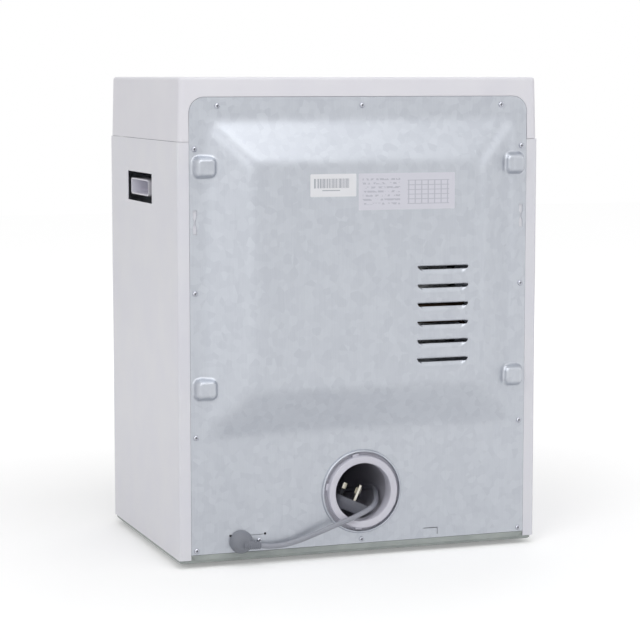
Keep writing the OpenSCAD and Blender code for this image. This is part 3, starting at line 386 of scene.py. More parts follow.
# power cord: the route from the gland into the duct, the loose turns, the coil and the way to the plug
cordSettings = {"length": 1.556, "diameter": 0.0068, "coilRadius": 0.036, "coilPitch": 0.0072, "coilTurns": 3,
                "deep": -0.025, "loose": -0.066, "startAngle": 170, "looseTurns": -1.45, "looseKnots": 24,
                "coilKnots": 48}
routeOut = [(0.142, 0.178, 0.026), (0.132, 0.178, 0.0245), (0.120, 0.178, 0.024), (0.108, 0.178, 0.025),
            (0.096, 0.1785, 0.0275), (0.084, 0.1795, 0.031), (0.072, 0.181, 0.0355), (0.060, 0.1825, 0.040),
            (0.048, 0.1835, 0.0445), (0.036, 0.1835, 0.0485), (0.025, 0.1825, 0.052), (0.014, 0.180, 0.055),
            (0.003, 0.176, 0.058), (-0.008, 0.1705, 0.061), (-0.018, 0.163, 0.0645), (-0.026, 0.153, 0.069),
            (-0.031, 0.141, 0.0735), (-0.035, 0.128, 0.077), (-0.0375, 0.113, 0.0785), (-0.0385, 0.097, 0.077),
            (-0.0375, 0.080, 0.0735), (-0.036, 0.062, 0.069), (-0.033, 0.044, 0.065), (-0.028, 0.027, 0.0625),
            (-0.0225, 0.010, 0.0615), (-0.0185, -0.007, 0.0605), (-0.017, -0.024, 0.0585),
            (-0.019, -0.039, 0.056), (-0.025, -0.050, 0.0575), (-0.032, -0.0595, 0.0655)]
routeBack = [(0.035, -0.002, 0.074), (0.0295, 0.002, 0.062), (0.0215, 0.0085, 0.055), (0.013, 0.020, 0.0525),
             (0.008, 0.033, 0.054), (0.0055, 0.048, 0.057), (0.0045, 0.064, 0.060), (0.0042, 0.078, 0.0612)]


def helix(startAngle, y0, y1, turns, count):
    lo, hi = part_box("cord_coil")
    radius = cordSettings["coilRadius"]
    points = []
    for i in range(count + 1):
        a = math.radians(startAngle + 360 * turns * i / count)
        points.append((radius * math.cos(a), y0 + (y1 - y0) * i / count,
                       (lo.z + hi.z) / 2 + radius * math.sin(a)))
    return points


def makeCord():
    c = cordSettings
    loose = helix(c["startAngle"], c["loose"], c["deep"], c["looseTurns"], c["looseKnots"])
    coilStart = c["startAngle"] + 360 * c["looseTurns"]
    coilEnd = c["deep"] + c["coilTurns"] * c["coilPitch"]
    coil = helix(coilStart, c["deep"], coilEnd, -c["coilTurns"], c["coilKnots"])
    points = routeOut + loose + coil[1:] + routeBack
    curve = bpy.data.curves.new("power_lead", "CURVE")
    curve.dimensions = "3D"
    curve.bevel_depth = c["diameter"] / 2
    curve.bevel_resolution = 4
    curve.resolution_u = 4
    curve.use_fill_caps = True
    line = curve.splines.new("BEZIER")
    line.bezier_points.add(len(points) - 1)
    for knot, spot in zip(line.bezier_points, points):
        knot.co = spot
        knot.handle_left_type = knot.handle_right_type = "AUTO"
    curve.materials.append(cordGrey)
    lead = bpy.data.objects.new("power_lead", curve)
    scene.collection.objects.link(lead)
    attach(lead, "cabinet")
    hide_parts("power_cord", "cord_coil")
    return lead


lead = makeCord()
print("cord laid")

# rear panel: one pressed sheet with the bulge, the pads, the louvres and the shallow pressed fields
rear = {"out": 32, "side": 211, "low": 171, "high": 572.4, "slope": 57, "mitre": 16, "cell": 4.6,
        "corner": 20, "pad": (32, 29, 13), "padPlaces": [(s * 212, z) for s in (-1, 1) for z in (231, 512.4)],
        "louvreX": (-137.5, -63.5), "louvreZ": [251.5 + 24.1 * i for i in range(6)], "louvreH": 10, "lip": 4.5,
        "padCorner": 9, "padRound": 7.5, "louvreLean": 9, "louvreEnd": 4.6, "reach": 4,
        "slot": (30.5, 5, 443, 224.7), "hole": 52.2, "sheet": 0.9, "toolHoles": ((179.7, 39.5), (132.9, 39.5)),
        "fields": [(115, 192, 40, 171, 8.5), (-194.4, -120.3, 32, 171, 6)], "fieldDepth": 1.0}


def softMin(a, b, k):
    t = max(k - abs(a - b), 0) / k
    return min(a, b) - t * t * k / 4


def smooth(t):
    t = min(max(t, 0), 1)
    return t * t * (3 - 2 * t)


def rounded(t, soft):  # 0 below 0, 1 above 1, straight between, with soft corners
    return softMin(-softMin(-t, 0, soft), 1, soft)


def pressed(x, z):  # how far the sheet stands out at x, z
    upDown = softMin(z - rear["low"], rear["high"] - z, rear["mitre"])
    edge = softMin(rear["side"] - abs(x), upDown, rear["mitre"])
    out = rear["out"] * max(rounded(edge / rear["slope"], 0.14), 0)
    w, h, tall = rear["pad"]
    for px, pz in rear["padPlaces"]:
        corner = rear["padCorner"]
        qx, qz = abs(x - px) - w / 2 + corner, abs(z - pz) - h / 2 + corner
        inside = corner - math.hypot(max(qx, 0), max(qz, 0)) - min(max(qx, qz), 0)
        if inside > 0:
            crown = math.sin(math.pi / 2 * min(inside / rear["padRound"], 1)) ** 0.7
            out = -softMin(-out, -tall * crown, 3)
    for x0, x1, z0, _, run in rear["fields"]:
        depth = smooth(min(x - x0, x1 - x, z - z0) / run)
        out -= rear["fieldDepth"] * depth * smooth((rear["low"] + 6 - z) / 8)
    x0, x1 = rear["louvreX"]
    for z0 in rear["louvreZ"]:
        if z0 - 3 < z < z0 + rear["louvreH"] + 0.6:
            up = (z - z0 + 2) / (rear["louvreH"] + 2)
            lean = rear["louvreLean"] * (1 - up)
            ends = min(x - x0 - lean, x1 - lean - x)
            out -= rear["lip"] * smooth(up) * smooth(ends / 5)
    return out


def makeRearPanel():
    bm = bmesh.new()
    across, tall = panelHi.x - panelLo.x, panelHi.z - panelLo.z
    bmesh.ops.create_grid(bm, x_segments=round(across / rear["cell"]), y_segments=round(tall / rear["cell"]),
                          size=0.5)
    turned(bm, bm.verts, -math.pi / 2, "X")
    bmesh.ops.scale(bm, vec=(across, 1, tall), verts=bm.verts)
    bmesh.ops.translate(bm, vec=(0, backY, (panelLo.z + panelHi.z) / 2), verts=bm.verts)

    def finer(x0, x1, z0, z1, cuts):
        edges = [e for e in bm.edges if all(x0 < v.co.x < x1 and z0 < v.co.z < z1 for v in e.verts)]
        bmesh.ops.subdivide_edges(bm, edges=edges, cuts=cuts, use_grid_fill=True)

    finer(rear["louvreX"][0] - 8, rear["louvreX"][1] + 8, rear["louvreZ"][0] - 8, rear["louvreZ"][-1] + 18, 3)
    for px, pz in rear["padPlaces"]:
        finer(px - 24, px + 24, pz - 22, pz + 22, 2)
    for x0, x1, z0, z1, _ in rear["fields"]:
        for low, high in ((x0 - 6, x0 + 16), (x1 - 16, x1 + 6)):
            finer(low, high, z0 - 8, z1 + 8, 1)
    for side in (-1, 1):  # the round top corners, taken off by tangent cuts
        centre = Vector((side * (panelHi.x - rear["corner"]), backY, panelHi.z - rear["corner"]))
        for i in range(1, 12):
            a = math.radians(7.5 * i)
            way = Vector((side * math.cos(a), 0, math.sin(a)))
            bmesh.ops.bisect_plane(bm, geom=wholeOf(bm),
                                   plane_co=centre + way * rear["corner"], plane_no=way, clear_outer=True)
    made = bmesh.ops.extrude_face_region(bm, geom=bm.faces[:])["geom"]
    bmesh.ops.translate(bm, vec=(0, -rear["sheet"], 0), verts=vertsOf(made))
    piece = place(bm, "rear_sheet", galvanised, "cabinet", "zinc_steel", ["rear_panel"], weighted=False, smooth=50)
    cut = bmesh.new()
    low, high = backY - rear["reach"], backY + rear["reach"]
    drill(cut, rear["hole"], low, high, 0, ventZ)
    h, w, z, x = rear["slot"]
    half = [(w / 2, -h / 2), (w / 2, -h / 2 + 9), (w / 6, -2), (w / 6, 2), (w / 2, h / 2 - 9), (w / 2, h / 2)]
    for side in (-1, 1):
        ring = half + [(-px, pz) for px, pz in reversed(half)]
        prism(cut, [(side * x + px, z + pz) for px, pz in ring], low, high)
    x0, x1 = rear["louvreX"]
    for z0 in rear["louvreZ"]:  # crescent opening under each louvre's straight top edge
        top = z0 + rear["louvreH"]
        ends = [(x1 - 1, top), (x0 + 1, top)]
        r = rear["louvreEnd"]
        prism(cut, ends + arc(x0 + 6, top, r, 185, 262, 5) + arc(x1 - 6, top, r, 278, 355, 5), low, high)
    for hx, hz in rear["toolHoles"]:  # two small tooling holes by the gland
        drill(cut, 1.6, low, high, hx, hz, 16)
    prism(cut, [(136, 38.6), (152, 38.6), (152, 39.2), (136, 39.2)], low, high)  # slits lanced in the sheet
    prism(cut, [(-87.7, 30.6), (-107.2, 30.6), (-107.2, 22), (-107.9, 22), (-107.9, 31.4), (-87.7, 31.4)],
          low, high)
    cutBy(piece, cut)
    for v in piece.data.vertices:  # the flat, pierced sheet is pressed into shape
        v.co.y += pressed(v.co.x / mm, v.co.z / mm) * mm
    lip = bmesh.new()  # flange round the vent hole
    r = rear["hole"]
    spun(lip, [(r, backY - 1.2), (r, backY + 2.2), (r + 0.7, backY + 3), (r + 1.8, backY + 2.8),
               (r + 2.6, backY + 1.6), (r + 3.4, backY + 0.2), (r + 3.4, backY - 1.2)], 0, ventZ, 120)
    place(lip, "vent_flange", galvanised, "cabinet", "zinc_steel", smooth=60)


makeRearPanel()
print("rear panel pressed")


def makeScrews():
    spots = [(s * 194.7, panelHi.z - 11) for s in (-1, 0, 1)] + [(0, panelLo.z + 5), (140.7, 31)]
    spots += [(s * 224.7, z) for s in (-1, 1) for z in (seamZ - 9, seamZ - 191, seamZ - 375, panelLo.z + 5)]
    bm = bmesh.new()
    for x, z in spots:
        spun(bm, [(0, backY - 2), (1.6, backY - 2), (1.6, backY), (3.5, backY), (3.5, backY + 0.7),
                  (2.9, backY + 1.6), (1.9, backY + 2), (1.3, backY + 1.2), (0, backY + 1.0)], x, z, 24)
    place(bm, "panel_screws", screwZinc, "cabinet", "screw_steel", ["rear_screws"], smooth=40)
    bm = bmesh.new()  # dark cross in each drive recess: painted shade standing in for the shadow inside the recess
    for n, (x, z) in enumerate(spots):
        for turn in (0, 90):
            made = block(bm, -1.3, 1.3, backY + 1.15, backY + 1.3, -0.3, 0.3)
            turned(bm, made, math.radians(20 + turn + 35 * n), "Y")
            bmesh.ops.translate(bm, vec=(x, 0, z), verts=made)
    place(bm, "screw_recess_shade", darkPlastic, "cabinet", "screw_steel")


def makeLabels():
    top = box("rating_labels")[1].z
    for name, x0, x1, tall, paint, stands in (("bar_label", 20, 82, 29, labelBars, ["rating_labels"]),
                                              ("ruled_label", -116, 17, 47, labelRules, [])):
        bm = bmesh.new()
        edge = roundOutline((x0 + x1) / 2, top - tall / 2, x1 - x0, tall, labels["corner"], 3)
        prism(bm, edge, panelHi.y - 0.02, panelHi.y + 0.1)
        place(bm, name, paint, "cabinet", "label", stands)


makeScrews()
makeLabels()

# side panels: coated sheet folded round the front and the back, with four shallow bands
sides = {"edge": 15.5, "lap": 15, "front": 12, "fold": 3.2, "sheet": 1.1, "bandTop": 417, "bandPitch": 86,
         "bandH": 48, "bandW": 198, "bandIn": 0.4, "ramp": 3, "lapIn": (2.4, 1.3), "gripGap": 3.8}


def makeSide(sign, name, node):
    gripLo, gripHi = box("grip_right")
    midY = (gripLo.y + gripHi.y) / 2
    out, r = sideHi.x, sides["fold"]
    plan = [(out - sides["front"], frontY)] + arc(out - r, frontY + r, r, -90, 0, 5)
    ramp, half, tall = sides["ramp"], sides["bandW"] / 2, sides["bandH"]
    rows = [midY - half, midY - half + ramp, midY + half - ramp, midY + half]
    plan += [(out, y) for y in rows] + arc(out - r, backY - r, r, 0, 90, 6) + [(out - sides["edge"], backY)]
    bm = bmesh.new()
    chain = [bm.verts.new((x, y, sideLo.z)) for x, y in plan]
    edges = [bm.edges.new(pair) for pair in zip(chain, chain[1:])]
    made = bmesh.ops.extrude_edge_only(bm, edges=edges)["geom"]
    bmesh.ops.translate(bm, vec=(0, 0, seamZ - sideLo.z), verts=vertsOf(made))
    lines = []
    for i in range(4):
        top = sides["bandTop"] - i * sides["bandPitch"]
        lines += [top, top - ramp, top - tall + ramp, top - tall]
    for z in lines:
        bmesh.ops.bisect_plane(bm, geom=wholeOf(bm), plane_co=(0, 0, z), plane_no=(0, 0, 1))
    for v in bm.verts:
        inBand = any(top - tall + 1 < v.co.z < top - 1 for top in lines[0::4])
        if inBand and rows[0] + 1 < v.co.y < rows[3] - 1 and v.co.x > out - 0.5:
            v.co.x -= sides["bandIn"]
    bmesh.ops.recalc_face_normals(bm, faces=bm.faces)
    if sum(f.normal.x * f.calc_area() for f in bm.faces) < 0:
        bmesh.ops.reverse_faces(bm, faces=bm.faces)
    bmesh.ops.solidify(bm, geom=bm.faces, thickness=sides["sheet"])
    deep, shallow = sides["lapIn"]  # flange that the rear panel is screwed to
    block(bm, out - sides["edge"] - sides["lap"], out - 1, backY - deep, backY - shallow, panHi.z + 1, seamZ - 1.5)
    if sign < 0:
        bmesh.ops.scale(bm, vec=(-1, 1, 1), verts=bm.verts)
    piece = place(bm, name, steelWhite, "cabinet", "white_steel", [node], smooth=32)
    cut = bmesh.new()
    low, high = sorted((sign * (out - 4), sign * (out + 4)))
    gap = sides["gripGap"]
    block(cut, low, high, gripLo.y + gap, gripHi.y - gap, gripLo.z + gap, gripHi.z - gap)
    cutBy(piece, cut)


makeSide(1, "side_sheet_right", "side_panel_right")
makeSide(-1, "side_sheet_left", "side_panel_left")

# hand grips: moulded plate with a pocket for the fingers
grips = {"plate": 121, "tall": 38.5, "corner": 5, "mouthW": 84, "mouthH": 18, "deep": 27, "lean": (0.97, 1, 0.9),
         "wall": 1.6}


def makeGrip(sign, name, node):
    lo, hi = box("grip_right")
    midY, midZ, out = (lo.y + hi.y) / 2, (lo.z + hi.z) / 2, hi.x
    bm = bmesh.new()
    # the plate is drawn flat in x and z, then turned to face sideways
    face = outlineFace(bm, roundOutline(0, 0, grips["plate"], grips["tall"], grips["corner"], 5), 0)
    bmesh.ops.inset_region(bm, faces=[face], thickness=6.0, depth=0.0)
    mouth = max(bm.faces, key=lambda f: f.calc_area())
    wide, tall = max(v.co.x for v in mouth.verts), max(v.co.z for v in mouth.verts)
    bmesh.ops.scale(bm, vec=(grips["mouthW"] / 2 / wide, 1, grips["mouthH"] / 2 / tall), verts=mouth.verts)
    made = bmesh.ops.extrude_discrete_faces(bm, faces=[mouth])["faces"]
    bmesh.ops.translate(bm, vec=(0, -grips["deep"], 0), verts=made[0].verts)
    bmesh.ops.scale(bm, vec=grips["lean"], verts=made[0].verts)
    bmesh.ops.recalc_face_normals(bm, faces=bm.faces)
    turned(bm, bm.verts, -math.pi / 2, "Z")
    bmesh.ops.translate(bm, vec=(out - 0.1, midY, midZ), verts=bm.verts)
    if sum(f.normal.x * f.calc_area() for f in bm.faces) < 0:
        bmesh.ops.reverse_faces(bm, faces=bm.faces)
    bmesh.ops.solidify(bm, geom=bm.faces, thickness=grips["wall"])
    if sign < 0:
        bmesh.ops.scale(bm, vec=(-1, 1, 1), verts=bm.verts)
    place(bm, name, absGrip, "cabinet", "grip_plastic", [node], smooth=30)


makeGrip(1, "hand_grip_right", "grip_right")
makeGrip(-1, "hand_grip_left", "grip_left")
print("sides made")

# top moulding: tapered cap over the cabinet, with a recess that takes the rear panel
cap = {"taper": 2.0, "backTaper": 1.2, "edge": 4.0, "corner": 6.0, "wall": 3.2, "seam": 0.4, "gap": 0.5,
       "recess": 2.2, "bore": 6}


def makeTop():
    bm = bmesh.new()
    block(bm, topLo.x, topHi.x, topLo.y, topHi.y, seamZ + cap["seam"], topHi.z)
    upright = [e for e in bm.edges if abs(e.verts[0].co.z - e.verts[1].co.z) > 20]
    softened(bm, upright, cap["corner"], 6)
    upper = [v for v in bm.verts if v.co.z > topHi.z - 1]
    midY = (topLo.y + topHi.y) / 2
    inward = (1 - cap["taper"] / topHi.x, 1 - cap["backTaper"] / (topHi.y - midY), 1)
    bmesh.ops.scale(bm, vec=inward, verts=upper, space=Matrix.Translation((0, -midY, 0)))
    rim = [e for e in bm.edges if all(v.co.z > topHi.z - 1 for v in e.verts)]
    softened(bm, rim, cap["edge"], 5)
    piece = place(bm, "top_moulding", absWhite, "cabinet", "white_plastic", ["top_cover"], smooth=30)
    cut = bmesh.new()
    w = cap["wall"]
    block(cut, topLo.x + w, topHi.x - w, topLo.y + w, topHi.y - w - 4, seamZ - 5, topHi.z - w)
    cutBy(piece, cut)
    cut = bmesh.new()  # recess for the rear panel, bores for the controls
    r, g = rear["corner"], cap["gap"]
    outline = [(panelHi.x + g, seamZ - 10)] + arc(panelHi.x - r, panelHi.z - r, r + g, 0, 90, 10)
    outline += arc(panelLo.x + r, panelHi.z - r, r + g, 90, 180, 10) + [(panelLo.x - g, seamZ - 10)]
    prism(cut, outline, backY - cap["recess"], topHi.y + 3)
    for node in ("timer_knob", "heat_knob", "start_button"):
        drill(cut, cap["bore"], frontY - 4, frontY + 8, *middle(node), 24)
    cutBy(piece, cut)


makeTop()

# base pan: pressed tray whose rim shows under the rear panel
pan = {"corner": 8, "edge": 3, "rim": 2.0, "deep": 8.8, "inset": 6}


def makePan():
    bm = bmesh.new()
    block(bm, panLo.x, panHi.x, panLo.y, panHi.y - 2, panLo.z, panHi.z)
    upright = [e for e in bm.edges if abs(e.verts[0].co.z - e.verts[1].co.z) > 5]
    softened(bm, upright, pan["corner"], 5)
    under = min(bm.faces, key=lambda f: f.calc_center_median().z)
    softened(bm, list(under.edges), pan["edge"], 4)
    lid = max(bm.faces, key=lambda f: f.calc_center_median().z)
    bmesh.ops.inset_region(bm, faces=[lid], thickness=pan["rim"])
    bmesh.ops.translate(bm, vec=(0, 0, -pan["deep"]), verts=lid.verts)
    place(bm, "pan_tray", panSteel, "cabinet", "pan", ["base_pan"], smooth=35)
    bm = bmesh.new()  # rolled rim at the back, inside the panel's width
    low, mid, inset = panLo.z + 4, panLo.z + 10, pan["inset"]
    prism(bm, [(panelLo.x + inset, low), (panelHi.x - inset, low), (panelHi.x, mid), (panelHi.x, panHi.z),
               (panelLo.x, panHi.z), (panelLo.x, mid)], backY - 4, backY - 0.1)
    place(bm, "pan_rim", panSteel, "cabinet", "pan", bevel=1.0)


foot = {"radius": 16,
        "profile": [(0, 0), (14, 0), (15.4, 0.8), (16, 2), (15, 3), (15, 3.6), (15.6, 4.4), (15, 6), (0, 6)]}


def makeFeet():
    lo, hi = box("feet")
    bm = bmesh.new()
    for x in (lo.x + foot["radius"], hi.x - foot["radius"]):
        for y in (lo.y + foot["radius"], hi.y - foot["radius"]):
            fresh = spun(bm, foot["profile"], 0, 0, 32)
            turned(bm, fresh, math.pi / 2, "X")
            bmesh.ops.translate(bm, vec=(x, y, 0), verts=fresh)
    place(bm, "rubber_feet", rubberDark, "cabinet", "foot_rubber", ["feet"], smooth=30)


makePan()
makeFeet()

# vent: moulded ring in the steel flange, with its pipe into the duct behind it, and its clips
vent = {"outer": 47.5, "bore": 38, "pipe": 43.5, "clips": (80, 10, 200, 275), "clipWide": 9}


def makeVent():
    y = ringHi.y
    outer, bore, pipe = vent["outer"], vent["bore"], vent["pipe"]
    bm = bmesh.new()
    spun(bm, [(bore, y - 2.2), (bore + 0.6, y - 0.8), (bore + 2.2, y), (outer - 2, y), (outer - 0.6, y - 0.5),
              (outer, y - 1.8), (outer, ringLo.y + 12), (pipe - 0.5, ringLo.y + 12), (pipe - 0.5, ringLo.y),
              (pipe - 2.5, ringLo.y), (bore, y - 16)], 0, ventZ, 128)
    place(bm, "outlet_ring", ringWhite, "cabinet", "ring_plastic", ["vent_ring"], smooth=28)
    bm = bmesh.new()  # fine step on the ring's face
    spun(bm, [(outer - 4.2, y - 0.3), (outer - 4.2, y - 0.02), (outer - 3.9, y), (outer - 3.6, y - 0.02),
              (outer - 3.6, y - 0.3)], 0, ventZ, 128)
    place(bm, "ring_bead", ringWhite, "cabinet", "ring_plastic", smooth=28)
    bm = bmesh.new()
    half = vent["clipWide"] / 2
    for a in vent["clips"]:
        made = block(bm, outer - 1, outer + 3.2, backY - 1.5, backY + 1.2, -half, half)
        turned(bm, made, -math.radians(a), "Y")
        bmesh.ops.translate(bm, vec=(0, 0, ventZ), verts=made)
    place(bm, "ring_clips", ringWhite, "cabinet", "ring_plastic", bevel=0.5)


makeVent()

# gland, its boot, the plug and the pins
gland = {"radius": 15, "ribs": 3, "bootLong": 24, "bootRibs": 9, "bootSize": 4.1, "bootGrows": 2.7}


def makeGland():
    hi = box("cord_grip")[1]
    r, y = gland["radius"], backY
    x, z = hi.x - r, hi.z - r
    bm = bmesh.new()
    spun(bm, [(0, y - 3), (r - 5, y - 3), (r - 5, y), (r, y + 0.1), (r, y + 4.6), (r - 0.8, y + 6.5),
              (r - 2.2, y + 9.6), (r - 4, y + 11), (r - 5.6, y + 12.6), (r - 9, y + 13.8), (0, y + 14.4)], x, z, 64)
    for i in range(gland["ribs"]):  # moulded ribs round the face
        spun(bm, [(r - 11 + 3.2 * i, y + 13.0 - 1.6 * i), (r - 10.4 + 3.2 * i, y + 14.2 - 1.5 * i),
                  (r - 9.8 + 3.2 * i, y + 13.0 - 1.7 * i)], x, z, 48)
    start = Vector(routeOut[0]) / mm
    way = (start - Vector(routeOut[1]) / mm).normalized()
    boot = [(0, 0)]
    for i in range(gland["bootRibs"]):  # ribbed boot that tapers towards the cord
        part = i / gland["bootRibs"]
        at, size = gland["bootLong"] * part, gland["bootSize"] + gland["bootGrows"] * part ** 0.8
        boot += [(size, at), (size + 0.5, at + 0.6), (size + 0.5, at + 1.5), (size, at + 1.9)]
    wide = gland["bootSize"] + gland["bootGrows"]
    fresh = spun(bm, boot + [(wide, gland["bootLong"]), (0, gland["bootLong"])], 0, 0, 32)
    turn = Vector((0, 1, 0)).rotation_difference(way).to_matrix()
    bmesh.ops.rotate(bm, cent=(0, 0, 0), matrix=turn, verts=fresh)
    bmesh.ops.translate(bm, vec=start, verts=fresh)
    place(bm, "cord_gland", rubberGrey, "cabinet", "grey_rubber", ["cord_grip"], smooth=30)


plugSettings = {"turn": -24, "place": (0.7, 126, 69.1), "size": 50, "corner": 9, "pinApart": 11.1,
                "layers": [(0, -6), (2.2, -4.2), (0.9, -3), (1.6, -1.8), (1.8, -1)]}  # each narrows and drops


def makePlug():
    p = plugSettings
    bm = bmesh.new()
    outline = roundOutline(0, 0, p["size"], p["size"], p["corner"], 6)
    face = outlineFace(bm, outline, 0)  # drawn in x and z, laid flat below
    for shrink, drop in p["layers"]:
        face = bmesh.ops.extrude_discrete_faces(bm, faces=[face])["faces"][0]
        bmesh.ops.translate(bm, vec=(0, drop, 0), verts=face.verts)
        bmesh.ops.scale(bm, vec=(1 - 2 * shrink / p["size"], 1, 1 - 2 * shrink / p["size"]), verts=face.verts)
    outlineFace(bm, outline, 0)
    turned(bm, bm.verts, math.pi / 2, "X")
    turn = Matrix.Rotation(math.radians(p["turn"]), 3, "Y")

    def settle():  # from the plug's own place to where it lies in the duct
        bmesh.ops.rotate(bm, cent=(0, 0, 0), matrix=turn, verts=bm.verts)
        bmesh.ops.translate(bm, vec=p["place"], verts=bm.verts)

    settle()
    end = Vector(routeBack[-1]) / mm
    nose = p["place"][1] - p["size"] / 2 + 4
    boot = [(0, end.y), (4.1, end.y)]
    for i in range(5):
        at = end.y + (nose - end.y) * i / 5
        boot += [(4.2 + 0.55 * i, at + 1.4), (4.9 + 0.55 * i, at + 1.9), (4.9 + 0.55 * i, at + 3)]
    spun(bm, boot + [(7, nose), (0, nose)], end.x, end.z, 32)
    plug = place(bm, "lead_plug", plugGrey, "cabinet", "cord", ["power_plug"], smooth=30)
    bm = bmesh.new()
    half = p["size"] / 2
    block(bm, -2, 2, half - 14, half - 6, -0.5, 22.5)
    for x in (-p["pinApart"], p["pinApart"]):
        block(bm, x - 3.2, x + 3.2, half - 34.2, half - 30.2, 8.5, 17.5)
    settle()
    pins = place(bm, "plug_blades", pinBrass, "cabinet", "pin_brass", ["plug_pins"], bevel=0.7)
    bm = bmesh.new()  # insulating sleeves on the two shorter pins
    for x in (-p["pinApart"], p["pinApart"]):
        block(bm, x - 3.1, x + 3.1, half - 34.1, half - 30.3, -0.5, 8.5)
    settle()
    sleeves = place(bm, "plug_sleeves", darkPlastic, "cabinet", "dark_plastic", bevel=0.5)
    return [plug, pins, sleeves]


makeGland()
plugPieces = makePlug()
print("vent, gland and plug made")

# door
doorLo, doorHi = box("door_outer")
doorZ = middle("door_outer")[1]
door = {"window": 118, "opening": 165, "rim": 16, "standOff": 8.3, "dome": 6.5, "glass": 3.2, "catchSide": 36,
        "hingeSide": 42}


def makeDoor():
    outer, y0, w, roll = doorHi.x, doorLo.y, door["window"], door["rim"]
    bm = bmesh.new()
    face = ((-2, 4.6), (1, 2.6), (6, 1.1), (12, 0.2), (20, 0.3), (30, 1.6), (38, 3.3))
    profile = [(w - 4, y0 + 10), (w - 4, y0 + 7.6)] + [(w + r, y0 + d) for r, d in face]
    profile += arc(outer - roll, y0 + 21, roll, 250, 360, 12)
    back = frontY - door["standOff"]
    profile += [(outer, back), (outer - 2.5, back), (outer - 2.5, y0 + 21), (outer - 8, y0 + 13), (w + 10, y0 + 5),
                (w, y0 + 8), (w - 1, y0 + 10)]
    spun(bm, profile, 0, doorZ, 144)
    ring = place(bm, "door_ring", absWhite, "door", "white_plastic", ["door_outer"], smooth=30)
    cut = bmesh.new()
    tall = door["hingeSide"]
    block(cut, -outer - 14, -outer + 22, y0 + 9, frontY, doorZ - tall, doorZ + tall)
    tall = door["catchSide"]
    block(cut, outer - 14, outer + 2, y0 + 18, frontY, doorZ - tall, doorZ + tall)
    cutBy(ring, cut)
    bm = bmesh.new()
    lo, hi = box("door_window")
    y, edge, thick = lo.y, hi.x, door["glass"]
    dome = [(edge * t, y + door["dome"] * t ** 2.2) for t in (0.2, 0.4, 0.6, 0.75, 0.88, 0.96)]
    inside = [(r, d + thick) for r, d in reversed(dome)]
    spun(bm, [(0, y)] + dome + [(edge, y + 7.2), (edge, y + 9.8)] + inside + [(0, y + thick)], 0, doorZ, 128)
    place(bm, "window_glass", glass, "door", "smoked_glass", ["door_window"], smooth=30)
    bm = bmesh.new()  # bright inner trim that holds the glass
    spun(bm, [(w - 4, y0 + 6.6), (w - 1, y0 + 4.2), (w + 1.5, y0 + 2.6), (w + 2.4, y0 + 3.4), (w - 1, y0 + 7)],
         0, doorZ, 144)
    place(bm, "window_trim", knobWhite, "door", "white_plastic", smooth=30)


controls = {"fasciaCorner": 6, "bores": {"timer_knob": 5.2, "heat_knob": 5.2, "start_button": 9.4},
            "dials": {"timer_knob": (12, 330, 31), "heat_knob": (3, 180, 24)},  # marks, sweep and radius
            "markLong": 2.6, "ribs": 36, "groove": 0.7, "dish": (1.4, 0.9)}


def makeFascia():
    lo, hi = box("control_fascia")
    bm = bmesh.new()
    prism(bm, roundOutline(0, (lo.z + hi.z) / 2, hi.x - lo.x, hi.z - lo.z, controls["fasciaCorner"], 6),
          lo.y, hi.y)
    piece = place(bm, "fascia_panel", fasciaWhite, "cabinet", "fascia", ["control_fascia"], bevel=0.8)
    cut = bmesh.new()
    for node, r in controls["bores"].items():
        drill(cut, r, lo.y - 2, hi.y + 2, *middle(node), 40)
    cutBy(piece, cut)
    bm = bmesh.new()
    for node, (count, sweep, radius) in controls["dials"].items():
        a, b = box(node)
        x, z = (a.x + b.x) / 2, b.z - (b.x - a.x) / 2
        for i in range(count):
            angle = math.radians(90 - sweep * i / max(count - 1, 1))
            made = block(bm, radius - controls["markLong"], radius, lo.y - 0.06, lo.y + 0.1, -0.35, 0.35)
            turned(bm, made, -angle, "Y")
            bmesh.ops.translate(bm, vec=(x, 0, z), verts=made)
    place(bm, "dial_marks", inkGrey, "cabinet", "fascia")


def makeKnob(node, body, slot, name):
    lo, hi = box(node)
    x, r = (lo.x + hi.x) / 2, (hi.x - lo.x) / 2
    z = hi.z - r
    back = frontY - 3.3
    deep = back - lo.y - 1
    bm = bmesh.new()
    ribbed = []
    for i in range(2 * controls["ribs"]):
        a, reach = math.pi * i / controls["ribs"], r - 1.2 - (controls["groove"] if i % 2 else 0)
        ribbed.append((x + reach * math.cos(a), z + reach * math.sin(a)))
    face = outlineFace(bm, ribbed, back - 4)
    made = bmesh.ops.extrude_discrete_faces(bm, faces=[face])["faces"][0]
    bmesh.ops.translate(bm, vec=(0, -(deep - 4), 0), verts=made.verts)
    bmesh.ops.scale(bm, vec=(0.93, 1, 0.93), verts=made.verts, space=Matrix.Translation((-x, 0, -z)))
    wide, proud = controls["dish"]
    bmesh.ops.inset_region(bm, faces=[made], thickness=wide, depth=proud)
    spun(bm, [(0, back - 4.2), (r, back - 4.2), (r, back - 0.6), (r - 0.6, back), (0, back)], x, z, 96)
    place(bm, name, knobWhite, body, slot, [node], smooth=25)
    bm = bmesh.new()
    block(bm, x - 0.8, x + 0.8, lo.y + 0.02, lo.y + 1.4, z + r * 0.35, z + r - 4.2)
    place(bm, name + "_pointer", inkGrey, body, slot, bevel=0.2)
    bm = bmesh.new()
    spun(bm, [(0, back + 0.2), (3.9, back + 0.2), (3.9, hi.y - 0.5), (3.4, hi.y), (0, hi.y)], x, z, 24)
    place(bm, name + "_spindle", nylonWhite, body, "white_nylon")


